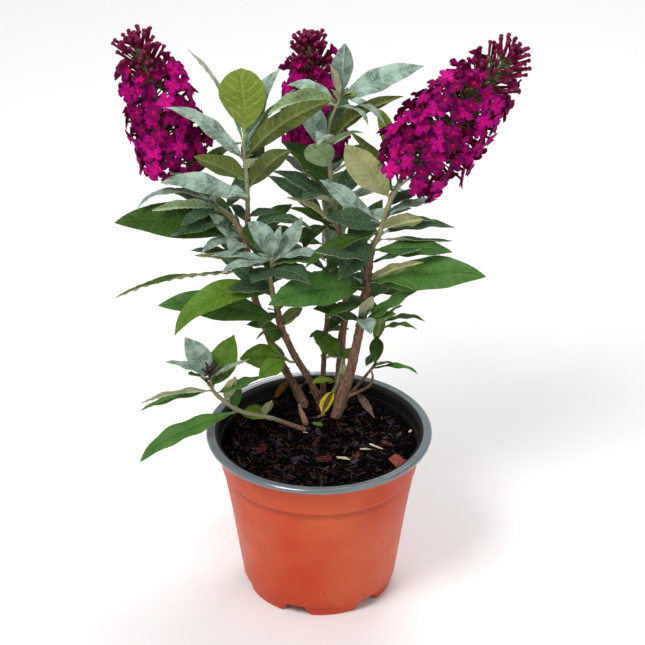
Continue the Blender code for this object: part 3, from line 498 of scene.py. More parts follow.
def sleevePattern(rings, sides):
    # A capped tube: a round face drawn up ring by ring, whose points know their ring and their turn
    key = "sleeve", rings, sides
    if key not in madePatterns:
        shape = bmesh.new()
        bmesh.ops.create_circle(shape, cap_ends=True, segments=sides, radius=1.0)
        top = shape.faces[:]
        for ring in range(rings - 1):
            drawn = bmesh.ops.extrude_face_region(shape, geom=top)["geom"]
            if ring > 0:
                bmesh.ops.delete(shape, geom=top, context="FACES_ONLY")
            top = onlyKind(drawn, bmesh.types.BMFace)
            bmesh.ops.translate(shape, vec=(0.0, 0.0, 1.0), verts=onlyKind(drawn, bmesh.types.BMVert))
        bmesh.ops.recalc_face_normals(shape, faces=shape.faces)
        shape.verts.index_update()
        heights = [min(vert.co.z for vert in face.verts) for face in shape.faces]
        pattern = patternFrom(shape, band=np.rint(heights).astype(int))
        pattern["ring"] = np.rint(pattern["points"][:, 2]).astype(int)
        pattern["turn"] = np.arctan2(pattern["points"][:, 1], pattern["points"][:, 0])
        madePatterns[key] = pattern
    return madePatterns[key]


def chipPattern(number):
    # An angular flake of bark: the hull of a few scattered points
    key = "chip", number
    if key not in madePatterns:
        chance = random.Random(100 + number)
        shape = bmesh.new()
        for _ in range(11):
            x = chance.uniform(-1, 1)
            y = chance.uniform(-1, 1) * chance.uniform(0.5, 1)
            shape.verts.new((x, y, chance.uniform(-1, 1)))
        hull = bmesh.ops.convex_hull(shape, input=shape.verts)
        inner = set(onlyKind(hull["geom_interior"], bmesh.types.BMVert))
        bmesh.ops.delete(shape, geom=list(inner), context="VERTS")
        bmesh.ops.recalc_face_normals(shape, faces=shape.faces)
        shape.verts.index_update()
        madePatterns[key] = patternFrom(shape)
    return madePatterns[key]


def spunShape(profile, sides, merged):
    # A profile of radius and height turned full circle; the layer "row" keeps each vertex's profile point
    shape = bmesh.new()
    rowOf = shape.verts.layers.int.new("row")
    verts = [shape.verts.new((radius, 0.0, height)) for radius, height in profile]
    for index, vert in enumerate(verts):
        vert[rowOf] = index
    for a, b in zip(verts, verts[1:]):
        shape.edges.new((a, b))
    bmesh.ops.spin(shape, geom=shape.verts[:] + shape.edges[:], cent=(0, 0, 0), axis=(0, 0, 1),
                   angle=2 * math.pi, steps=sides, use_merge=True)
    bmesh.ops.remove_doubles(shape, verts=shape.verts, dist=merged)
    return shape, rowOf


def spunPiece(name, shape, finishes, slotName, sharp):
    bmesh.ops.recalc_face_normals(shape, faces=shape.faces)
    bmesh.ops.translate(shape, verts=shape.verts, vec=potAxis)
    mesh = bpy.data.meshes.new(name)
    shape.to_mesh(mesh)
    shape.free()
    for finish in finishes:
        mesh.materials.append(materials[finish])
    return finished(name, mesh, (slotName,), sharp)


def aroundPlaces(pattern, places, across, radii):
    # A sleeve's points: the place of each ring, the two ways across it there, and each point's radius
    ring, turn = pattern["ring"], pattern["turn"][:, None]
    first, second = (np.broadcast_to(way, places.shape)[ring] for way in across)
    return places[ring] + (first * np.cos(turn) + second * np.sin(turn)) * radii[:, None]


def newBundle():
    # What the shapes of one piece are gathered in
    parts = ("names", "points", "corners", "sizes", "finish", "veins", "tone")
    return {"count": 0, **{part: [] for part in parts}}


def addShape(bundle, pattern, points, finishes, veins=None, tone=0.5):
    # finishes names the material of every face, or of them all
    names = bundle["names"]
    if isinstance(finishes, str):
        finishes = np.full(len(pattern["sizes"]), finishes)
    for name in dict.fromkeys(finishes.tolist()):
        if name not in names:
            names.append(name)
    total = len(points)
    bundle["points"].append(points)
    bundle["corners"].append(pattern["corners"] + bundle["count"])
    bundle["sizes"].append(pattern["sizes"])
    bundle["finish"].append(np.array([names.index(name) for name in finishes], np.int32))
    bundle["veins"].append(np.zeros((total, 2)) if veins is None else veins)
    bundle["tone"].append(np.broadcast_to(np.asarray(tone, float), (total,)))
    bundle["count"] += total


def pieceFrom(bundle, name, nodes, sharp=50.0):
    mesh = bpy.data.meshes.new(name)
    points = np.concatenate(bundle["points"]) * mm + np.array(potAxis)
    points = np.clip(points, *boxCorners)  # a curled tip stops at the solids' box
    corners = np.concatenate(bundle["corners"])
    sizes = np.concatenate(bundle["sizes"])
    mesh.vertices.add(len(points))
    mesh.vertices.foreach_set("co", points.astype(np.float32).ravel())
    mesh.loops.add(len(corners))
    mesh.loops.foreach_set("vertex_index", corners)
    mesh.polygons.add(len(sizes))
    mesh.polygons.foreach_set("loop_start", (np.cumsum(sizes) - sizes).astype(np.int32))
    mesh.polygons.foreach_set("material_index", np.concatenate(bundle["finish"]))
    mesh.update(calc_edges=True)
    veinMap = mesh.uv_layers.new(name="veins")
    veinMap.data.foreach_set("uv", np.concatenate(bundle["veins"])[corners].astype(np.float32).ravel())
    tone = mesh.attributes.new("tone", "FLOAT", "POINT")
    tone.data.foreach_set("value", np.concatenate(bundle["tone"]).astype(np.float32))
    for finish in bundle["names"]:
        mesh.materials.append(materials[finish])
    return finished(name, mesh, nodes, sharp)


def finished(name, mesh, nodes, sharp):
    mesh.validate()
    mesh.shade_smooth()
    mesh.set_sharp_from_angle(angle=math.radians(sharp))
    piece = bpy.data.objects.new(name, mesh)
    bpy.context.scene.collection.objects.link(piece)
    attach(piece, "root")
    if nodes:
        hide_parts(*nodes)
    print(name, sum(len(face.vertices) - 2 for face in mesh.polygons), "triangles")
    return piece


# Growth: the plant's own rule, with the paths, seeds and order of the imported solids

stems = {
    "stem_front_left": ((1, 52, 124, 2.9), (-8, 48, 148, 2.5), (-18, 44, 169, 2.6), (-26, 38, 192, 2.5)),
    "stem_back_left": ((-12, 50, 124, 3.6), (-23, 55, 145, 3.0), (-35, 60, 168, 2.8), (-46, 64, 200, 2.7)),
    "stem_back": ((3, 64, 124, 2.5), (3, 67, 140, 2.0), (4, 71, 160, 1.9)),
    "stem_centre": ((13, 52, 124, 3.5), (16, 57, 147, 3.6), (17, 60, 168, 3.0)),
    "stem_right": ((13, 33, 124, 3.7), (18, 33, 143, 4.5), (24, 32, 166, 3.7), (31, 32, 203, 3.2)),
    "stem_thin": ((21, 57, 124, 1.5), (31, 60, 136, 1.2), (38, 62, 145, 1.1)),
}

# A leaf is its share of the way along the twig, turn, rise, length, width, droop, roll and kind. A twig is
# bark up to the share "bark" and felted beyond it. Fill gives the seeded pairs of leaves.
shoots = {
    "foliage_front_left": {
        "seed": 11, "on": "stem_front_left",
        "twigs": ({
            "path": ((-31, 32, 216, 2.2), (-35, 28, 237, 2.0), (-36, 25, 252, 1.7), (-34, 22, 268, 1.2)),
            "bark": 0.45,
            "leaves": (
                (0.10, 200, 13, 28, 10, 40, 20, "deep"), (0.09, 230, -16, 16, 11, 30, 30, "deep"),
                (0.09, 325, 54, 32, 11, 20, -50, "olive"), (0.22, 188, 17, 93, 26, 12, 30, "green"),
                (0.52, 200, -13, 92, 21, 95, 30, "bright"), (0.60, 213, 14, 39, 16, 25, 10, "teal"),
                (0.84, 318, 10, 40, 22, 30, 10, "teal"), (0.86, 236, -2, 24, 19, 40, 0, "teal"),
                (0.87, 113, 8, 38, 13, 35, 0, "silver"), (0.94, 197, 14, 48, 13, 30, -5, "silver"),
                (0.96, 213, 5, 45, 13, 35, 0, "silver"), (0.95, 352, 9, 44, 13, 55, 0, "silver"),
                (0.97, 26, 50, 39, 15, -25, 15, "silver"), (0.97, 154, 52, 35, 16, 60, 30, "pale"),
                (0.99, 26, 78, 27, 9, 0, 10, "silver"), (0.99, 190, 66, 20, 10, 10, 30, "pale"),
                (0.95, 61, 23, 26, 11, 30, 0, "teal"), (0.90, 345, 14, 31, 9, 30, 0, "green"),
                (0.12, 205, -13, 22, 8, 30, -40, "olive"),
            ),
            "fill": {"pairs": 4, "from": 0.30, "to": 0.80, "turn": 75, "length": 56},
        },),
    },
    "foliage_left": {
        "seed": 23, "on": "stem_back_left",
        "twigs": ({
            "path": ((-52, 66, 226, 2.6), (-54, 64, 251, 2.5), (-60, 64, 270, 2.2), (-70, 67, 281, 2.0),
                     (-85, 72, 287, 1.8), (-97, 75, 293, 1.7), (-105, 77, 311, 1.6)),
            "bark": 0.5,
            "leaves": (
                (0.23, 190, -5, 105, 14, 22, -22, "khaki"), (0.29, 216, 8, 46, 15, 30, -40, "khaki"),
                (0.29, 195, 24, 49, 15, 20, 10, "teal"), (0.43, 206, -2, 38, 11, 60, 5, "silver"),
                (0.41, 193, 49, 40, 17, -10, 25, "silver"), (0.49, 190, 10, 96, 28, 22, 45, "deep"),
                (0.56, 206, -1, 53, 13, 30, 10, "teal"), (0.68, 225, -2, 39, 12, 45, 10, "teal"),
                (0.66, 204, 12, 56, 20, 25, -45, "pale"), (0.73, 196, 10, 64, 12, 75, -10, "silver"),
                (0.69, 180, 24, 39, 11, 25, 20, "silver"), (0.93, 33, 28, 56, 13, 20, 0, "teal"),
                (0.91, 180, 25, 13, 9, 25, 0, "silver"), (0.96, 21, 28, 40, 11, 25, -40, "olive"),
                (0.10, 51, 0, 42, 13, 30, 0, "teal"), (0.08, 131, -30, 42, 12, 25, 0, "deep"),
            ),
            "fill": {"pairs": 7, "from": 0.14, "to": 0.88, "turn": 60, "length": 70},
        }, {
            "path": ((-54, 64, 250, 2.2), (-53, 57, 285, 1.9), (-53, 50, 317, 1.6), (-55, 46, 350, 1.1)),
            "bark": 0.4,
            "leaves": (
                (0.99, 41, 82, 62, 38, -15, 40, "broad"), (0.95, 150, 55, 85, 12, 45, -25, "silver"),
                (0.83, 186, 42, 73, 17, 30, 25, "silver"), (0.85, 345, 38, 86, 19, 40, -70, "olive"),
                (0.65, 200, 35, 48, 21, 25, -60, "olive"), (0.58, 340, 48, 55, 19, 25, -60, "olive"),
                (0.88, 49, 30, 25, 16, 10, 0, "teal"), (0.71, 49, 43, 28, 14, 10, 0, "teal"),
                (0.94, 46, 58, 65, 19, 20, 0, "silver"), (0.47, 193, 24, 71, 19, 30, 25, "silver"),
                (0.90, 20, 50, 61, 16, 30, -40, "pale"), (0.32, 26, 0, 26, 11, 30, 0, "teal"),
            ),
            "fill": {"pairs": 3, "from": 0.25, "to": 0.75, "turn": 95, "length": 56},
        },),
    },
    "foliage_right": {
        "seed": 37, "on": "stem_right",
        "twigs": ({
            "path": ((33, 32, 220, 3.0), (35, 33, 235, 2.9), (39, 34, 268, 2.5), (44, 34, 279, 2.0),
                     (51, 36, 303, 1.8), (60, 38, 324, 1.7)),
            "bark": 0.56,
            "leaves": (
                (0.29, 350, 11, 90, 28, 20, 35, "green"), (0.26, 198, 8, 81, 28, 22, 35, "green"),
                (0.30, 338, 32, 52, 14, 15, -50, "khaki"), (0.29, 320, 19, 44, 9, 25, 0, "green"),
                (0.29, 215, 8, 14, 10, 30, 10, "deep"), (0.56, 227, -18, 42, 19, 30, 30, "teal"),
                (0.42, 338, 25, 45, 10, 20, 5, "teal"), (0.51, 356, 4, 60, 18, 12, 15, "green"),
                (0.59, 6, -7, 57, 11, 15, -20, "teal"), (0.63, 10, 0, 59, 15, 30, 0, "teal"),
                (0.66, 332, 26, 39, 20, 20, -45, "khaki"), (0.68, 196, 17, 46, 20, 20, 25, "teal"),
                (0.65, 205, -18, 65, 12, 20, 10, "deep"), (0.76, 30, 0, 46, 12, 25, 0, "silver"),
                (0.72, 10, -5, 38, 11, 20, 0, "teal"), (0.86, 215, 57, 70, 24, -15, -60, "khaki"),
                (0.90, 180, 67, 61, 16, 10, -50, "olive"), (0.81, 49, 0, 38, 13, 20, 0, "teal"),
                (0.96, 102, 38, 66, 12, 10, 0, "lime"), (0.04, 212, 27, 47, 18, 20, 15, "deep"),
                (0.01, 348, 40, 58, 15, 15, 15, "green"), (0.01, 340, 30, 32, 13, 20, 10, "green"),
                (0.04, 292, 58, 39, 11, 10, 0, "teal"), (0.04, 281, 6, 29, 14, 70, 0, "silver"),
            ),
            "fill": {"pairs": 6, "from": 0.16, "to": 0.90, "turn": 40, "length": 70},
        },),
    },
    "foliage_centre": {
        "seed": 41, "on": "stem_centre",
        "twigs": ({
            "path": ((19, 63, 190, 2.6), (20, 64, 221, 2.4), (15, 60, 268, 2.0), (10, 56, 303, 1.8),
                     (8, 54, 332, 1.6), (8, 55, 359, 1.4), (17, 56, 384, 1.1)),
            "bark": 0.5,
            "leaves": (
                (0.35, 222, 20, 54, 14, 25, 0, "deep"), (0.45, 195, 37, 47, 14, 25, 10, "deep"),
                (0.48, 178, 37, 47, 12, 15, -50, "khaki"), (0.57, 183, 38, 56, 17, 15, 15, "teal"),
                (0.63, 163, 48, 53, 24, 15, 10, "deep"), (0.72, 215, 54, 32, 22, 10, -60, "pale"),
                (0.79, 168, 58, 43, 24, 10, 20, "silver"), (0.80, 350, 38, 72, 20, 60, -45, "olive"),
                (0.80, 348, 35, 30, 10, 20, -40, "pale"), (0.95, 195, 6, 58, 22, 60, -65, "pale"),
                (0.95, 170, 24, 42, 11, 55, 30, "silver"), (0.99, 290, 80, 46, 17, 8, 0, "silverBoth"),
                (0.97, 250, 71, 38, 9, 10, 30, "silver"), (0.97, 8, 19, 67, 20, 25, 30, "silver"),
                (0.98, 329, -20, 42, 7, 85, 10, "silver"), (0.94, 324, -6, 36, 7, 95, -10, "silver"),
                (0.98, 340, 25, 13, 9, 20, 0, "lime"),
            ),
            "fill": {"pairs": 8, "from": 0.12, "to": 0.92, "turn": 70, "length": 64},
        },),
    },
    "foliage_back": {
        "seed": 53, "on": "stem_back",
        "twigs": ({
            "path": ((6, 77, 184, 1.7), (7, 86, 230, 1.6), (4, 94, 277, 1.5), (1, 100, 312, 1.5)),
            "bark": 0.30,
            "leaves": (
                (0.09, 203, -7, 14, 8, 25, 0, "olive"), (0.09, 350, 15, 19, 8, 25, 0, "olive"),
                (0.40, 146, 16, 54, 14, 25, 0, "teal"), (0.44, 40, 14, 54, 14, 25, 0, "teal"),
                (0.68, 150, 24, 58, 16, 25, 10, "teal"), (0.72, 35, 30, 58, 16, 25, 10, "silver"),
                (0.86, 170, 42, 38, 13, 20, 20, "silver"), (0.88, 54, 20, 42, 13, 25, 0, "silver"),
            ),
            "fill": {"pairs": 8, "from": 0.24, "to": 0.92, "turn": 85, "length": 74},
        },),
    },
    "foliage_low": {
        "twigs": ({
            "path": ((-12, 13, 124, 2.0), (-22, 10, 130, 1.9), (-35, 6, 138, 1.7), (-58, -2, 149, 1.6),
                     (-71, -6, 161, 1.5), (-79, -8, 172, 1.3), (-81, -8, 185, 1.1)),
            "bark": 0.24,
            "leaves": (
                (0.98, 173, 64, 38, 18, 10, 60, "silver"), (0.98, 186, 24, 36, 11, 30, 0, "silver"),
                (0.95, 238, 34, 36, 10, 20, 0, "khaki"), (0.97, 345, 32, 36, 9, 20, 0, "silver"),
                (0.85, 193, -2, 56, 12, 30, -45, "felt"), (0.86, 176, -16, 58, 12, 10, 0, "green"),
                (0.88, 54, 48, 43, 22, 15, 20, "bright"), (0.82, 350, 26, 40, 16, 25, 0, "green"),
                (0.72, 317, 60, 30, 9, 20, -60, "khaki"), (0.57, 197, -20, 86, 17, 25, 15, "green"),
                (0.60, 100, 70, 25, 10, 10, 0, "green"), (0.30, 175, 12, 22, 16, 30, 10, "lime"),
                (0.35, 340, 67, 17, 9, 20, -40, "khaki"),
            ),
            "withered": True,
        },),
    },
    "foliage_side": {
        "on": "stem_thin",
        "twigs": ({
            "path": ((42, 61, 160, 0.9), (44, 58, 180, 0.9), (48, 56, 200, 0.8)),
            "bark": 0.0,
            "leaves": (
                (0.05, 346, 5, 39, 6, 50, 0, "green"), (0.10, 350, 20, 17, 8, 30, -40, "khaki"),
                (0.35, 243, -21, 14, 7, 30, 0, "teal"), (0.64, 269, -29, 24, 11, 40, 0, "khaki"),
                (0.72, 346, 13, 33, 7, 60, 0, "bright"), (0.84, 9, 2, 37, 7, 50, 0, "khaki"),
                (0.94, 333, 44, 22, 8, 10, 0, "green"), (0.50, 80, 20, 34, 9, 25, 0, "bright"),
                (0.90, 130, 30, 26, 9, 15, 0, "teal"),
            ),
        },),
    },
    "foliage_foot": {
        "twigs": ({
            "path": ((6, 42, 124, 1.6), (11, 43, 139, 1.4), (15, 44, 151, 1.2), (18, 45, 168, 1.0)),
            "bark": 0.2,
            "leaves": (
                (0.52, 205, 14, 22, 9, 55, 0, "lime"), (0.38, 244, -38, 22, 10, 20, 0, "yellow"),
                (0.98, 150, 32, 31, 19, 15, 10, "bright"), (0.98, 30, 22, 14, 11, 20, 10, "bright"),
                (0.97, 190, 11, 15, 5, 60, 0, "silver"), (0.90, 300, -60, 11, 8, 20, 0, "felt"),
            ),
            "small": (
                (0.22, 212, -20, 12, 5, 30, 30, "felt"), (0.85, 320, -40, 9, 3, 40, 20, "felt"),
                (0.10, 170, 20, 8, 3, 40, 20, "dry"),
            ),
        },),
    },
    "foliage_sprig": {
        "twigs": ({
            "path": ((-20.3, 42.1, 166, 1.0), (-22.8, 40.5, 167.5, 0.9), (-25.5, 39, 171, 0.8)),
            "bark": 0.0,
            "leaves": (
                (0.90, 188, 6, 36, 20, 20, 40, "bright"), (0.80, 222, -8, 30, 15, 30, 30, "bright"),
                (0.95, 160, 40, 18, 8, 20, 0, "lime"),
            ),
        },),
    },
}

# "solid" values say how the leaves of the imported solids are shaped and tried
growth = {
    "gap": 0.3, "straightStart": 8.0, "shortest": 0.62, "lengthSpread": (0.85, 1.1), "rise": 8.0,
    "riseGain": 34.0, "turnSpread": 18.0, "riseSpread": 10.0, "slim": 0.24, "broad": 0.31,
    "droop": (18, 38), "roll": (-10, 22), "solidSizes": (1.0, 0.85, 0.7),
    "solidOutline": (0.0, 0.12, 0.42, 0.78, 1.0), "solidFold": 0.28,
    "solidTries": ((0, 0), (0, 9), (8, 0), (-8, 0), (0, -9), (14, 9), (-14, 9), (14, -9), (-14, -9)),
    "solidBreadths": ((2, 1.0), (3, 0.68)), "solidTouch": 0.00002, "solidSpots": 3,
}


def smoothPath(points, steps):
    # A Catmull-Rom curve through points of three or four numbers
    rows = [Vector(point) for point in points]
    rows = [rows[0] * 2.0 - rows[1], *rows, rows[-1] * 2.0 - rows[-2]]
    path = []
    for a, b, c, d in zip(rows, rows[1:], rows[2:], rows[3:]):
        for step in range(steps):
            t = step / steps
            path.append(
                (b * 2.0 + (c - a) * t + (a * 2.0 - b * 5.0 + c * 4.0 - d) * t**2
                 + (b * 3.0 - a - c * 3.0 + d) * t**3) * 0.5
            )
    path.append(rows[-2])
    return path


def pointAlong(path, share):
    lengths = [(b.xyz - a.xyz).length for a, b in zip(path, path[1:])]
    left = share * sum(lengths)
    for a, b, length in zip(path, path[1:], lengths):
        if left <= length:
            return a.lerp(b, left / length)
        left -= length
    return path[-1].copy()


def endOf(points):
    path = smoothPath(points, 2)
    return path[-1].xyz, (path[-1] - path[-2]).xyz.normalized(), path[-1][3]


def grownOn(end, points):
    # The points of a twig that goes straight on from a limb's end
    place, ahead, radius = end
    start = place + ahead * growth["gap"]
    return [(*start, radius), (*(start + ahead * growth["straightStart"]), radius), *points]


def leafFrames(root, leaf, shares):
    # Along the midrib: the places, and there the ways across and out of the upper face
    _, turn, rise, length, _, droop, roll = leaf[:7]
    heading = np.array((math.cos(math.radians(turn)), math.sin(math.radians(turn)), 0.0))
    side = np.array((-heading[1], heading[0], 0.0))
    if side[1] > 0.0:
        side = -side
    shares = np.asarray(shares)
    before = np.concatenate(([0.0], shares[:-1]))
    between = np.radians(rise + droop * (0.5 - (before + shares) / 2.0))[:, None]
    steps = (heading * np.cos(between) + up * np.sin(between)) * (length * (shares - before))[:, None]
    places = np.array(root) + np.cumsum(steps, axis=0)
    slope = np.radians(rise + droop * (0.5 - shares))[:, None]
    flat = up * np.cos(slope) - heading * np.sin(slope)
    rolled = math.radians(roll)
    normal = flat * math.cos(rolled) + side * math.sin(rolled)
    across = side * math.cos(rolled) - flat * math.sin(rolled)
    return places, across, normal


def packedLeaf(root, leaf, tree):
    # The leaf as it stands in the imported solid, turned or raised or smaller there, or None if it was skipped
    share, turn, rise, length, width = leaf[:5]
    for size in growth["solidSizes"]:
        for turnedBy, raisedBy in growth["solidTries"]:
            tried = (share, turn + turnedBy, rise + raisedBy, length * size, width * size, *leaf[5:])
            places, across, normal = leafFrames(root, tried, growth["solidOutline"])
            spots = [places[-1]]
            for index, breadth in growth["solidBreadths"]:
                half = tried[4] / 2.0 * breadth
                lift = normal[index] * half * growth["solidFold"]
                spots += [places[index] + across[index] * way * half + lift for way in (1, -1)]
            gaps = [tree.find_nearest(Vector(spot) * mm + potAxis)[3] for spot in spots]
            if sum(gap < growth["solidTouch"] for gap in gaps) >= growth["solidSpots"]:
                return tried
    return None


def seededLeaves(fill, chance):
    # Opposite pairs, each a right angle round from the pair below, longest in the middle of the twig
    g = growth
    for index in range(fill["pairs"]):
        share = index / max(fill["pairs"] - 1, 1)
        along = fill["from"] + share * (fill["to"] - fill["from"])
        longest = fill["length"] * (g["shortest"] + (1.0 - g["shortest"]) * math.sin(math.pi * share))
        for half in (0, 180):
            spread = chance.uniform(-g["turnSpread"], g["turnSpread"])
            turn = (fill["turn"] + 90 * index + half + spread) % 360
            length = longest * chance.uniform(*g["lengthSpread"])
            rise = g["rise"] + g["riseGain"] * share
            rise += chance.uniform(-g["riseSpread"], g["riseSpread"])
            width = length * chance.uniform(g["slim"], g["broad"])
            yield (along, turn, rise, length, width, chance.uniform(*g["droop"]), chance.uniform(*g["roll"]))


# The mix of seeded leaves above each height: felted young ones at the top, green old ones at the foot
kindsAbove = {
    300.0: ("silver", "silver", "teal", "teal"),
    220.0: ("silver", "teal", "teal", "deep", "deep"),
    0.0: ("deep", "green", "deep", "teal"),
}


def kindByHeight(height, chance):
    return chance.choice(next(kinds for lowest, kinds in kindsAbove.items() if height > lowest))


def solidTree(node):
    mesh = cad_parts[node].data
    faces = [face.vertices for face in mesh.polygons]
    return BVHTree.FromPolygons([vert.co for vert in mesh.vertices], faces)


def framesAlong(places):
    # Two ways across the path at each place, carried along it without twisting
    ahead = np.gradient(places, axis=0)
    ahead /= np.linalg.norm(ahead, axis=1)[:, None]
    first = np.cross(ahead[0], (0.0, 1.0, 0.0))
    carried = []
    for way in ahead:
        first = first - way * np.dot(first, way)
        first = first / np.linalg.norm(first)
        carried.append(first)
    across = np.array(carried)
    return across, np.cross(ahead, across)


def acrossWays(way, aside):
    # Two ways across a way, the first of them square to a way aside
    first = np.cross(way, aside)
    first /= np.linalg.norm(first)
    return first, np.cross(way, first)


# Leaves

leafKinds = {
    "silver": {"faces": ("silverTop", "feltUnder"), "fold": 0.42, "recurve": 0.30, "ripple": 0.7, "tip": 1.05,
               "relief": 0.045},
    "silverBoth": {"faces": ("silverTop", "silverTop"), "fold": 0.30, "recurve": 0.2, "ripple": 0.5,
                   "tip": 1.0},
    "teal": {"faces": ("tealTop", "feltUnder"), "fold": 0.34, "recurve": 0.28, "ripple": 0.7, "tip": 1.05},
    "deep": {"faces": ("deepTop", "khakiUnder"), "fold": 0.26, "recurve": 0.24, "ripple": 0.9, "tip": 0.95},
    "green": {"faces": ("greenTop", "khakiUnder"), "fold": 0.24, "recurve": 0.22, "ripple": 1.0, "tip": 0.95},
    "bright": {"faces": ("brightTop", "limeUnder"), "fold": 0.28, "recurve": 0.2, "ripple": 0.9, "tip": 1.05},
    "lime": {"faces": ("limeTop", "limeUnder"), "fold": 0.24, "recurve": 0.1, "ripple": 0.5, "tip": 0.72},
    "broad": {"faces": ("broadFace", "broadFace"), "fold": 0.2, "recurve": 0.0, "ripple": 0.3, "tip": 0.52,
              "base": 1.0, "size": 0.9, "stalk": 0.17, "veins": 8.5, "lean": 8.0},
    "olive": {"faces": ("tealTop", "oliveUnder"), "fold": 0.28, "recurve": 0.1, "ripple": 0.7, "tip": 0.95},
    "khaki": {"faces": ("deepTop", "khakiUnder"), "fold": 0.26, "recurve": 0.15, "ripple": 0.7, "tip": 0.95},
    "pale": {"faces": ("silverTop", "paleUnder"), "fold": 0.26, "recurve": 0.1, "ripple": 0.7, "tip": 0.9},
    "yellow": {"faces": ("yellowTop", "yellowTop"), "middle": "brownTop", "fold": 0.45, "recurve": 0.1,
               "ripple": 0.8, "tip": 1.0},
    "felt": {"faces": ("feltUnder", "feltUnder"), "fold": 0.35, "recurve": 0.2, "ripple": 0.9, "tip": 1.0},
    "faded": {"faces": ("brownTop", "brownTop"), "fold": 0.6, "recurve": 0.1, "ripple": 0.8, "tip": 0.9},
    "dry": {"faces": ("dryTop", "dryTop"), "fold": 0.85, "recurve": 0.0, "ripple": 1.3, "tip": 1.0},
}

# Grids are rows and columns for leaves longer than the first number; columns says how far out each lies
blade = {
    "grids": ((60.0, 60, 8), (28.0, 36, 8), (0.0, 9, 4)),
    "columns": {8: (0.0, 0.10, 0.42, 0.74, 1.0), 4: (0.0, 0.45, 1.0)}, "stalk": 0.07, "stalkWidth": 0.75,
    "stalkThickness": 0.55, "stalkFade": 1.6, "fullStalkWidth": 12.0, "base": 0.85, "tipWidth": 0.12,
    "thickness": 0.25, "edgeThickness": 0.14, "leastThickness": 0.1, "slimness": 40.0, "veinsPerLeaf": 12.0,
    "leastVeinSpacing": 2.6, "veinLean": 0.8, "veinCurve": 1.3, "relief": 0.075, "midribDepth": 0.045,
    "midribUnder": 1.7, "toothSpacing": 3.0, "toothDepth": 0.35, "toothedFrom": 24.0, "twist": 22.0,
    "twistAbout": 0.4, "sweep": 0.06, "tipCurl": (-0.25, 0.8), "curlFrom": 0.6, "waveLength": 50.0,
    "waves": (2.0, 3.5), "otherHalf": 1.9, "foldRound": 0.1, "recurveSpread": (0.4, 1.4),
}


def outlineAt(shares, kind):
    # Half the width of the blade at each share of its length, 1 where it is widest
    stalk = leafKinds[kind].get("stalk", blade["stalk"])
    body = np.clip((shares - stalk) / (1.0 - stalk), 0.0, 1.0)
    base, tip = leafKinds[kind].get("base", blade["base"]), leafKinds[kind]["tip"]
    widest = base / (base + tip)
    peak = widest**base * (1.0 - widest) ** tip
    return body**base * (1.0 - body) ** tip / peak


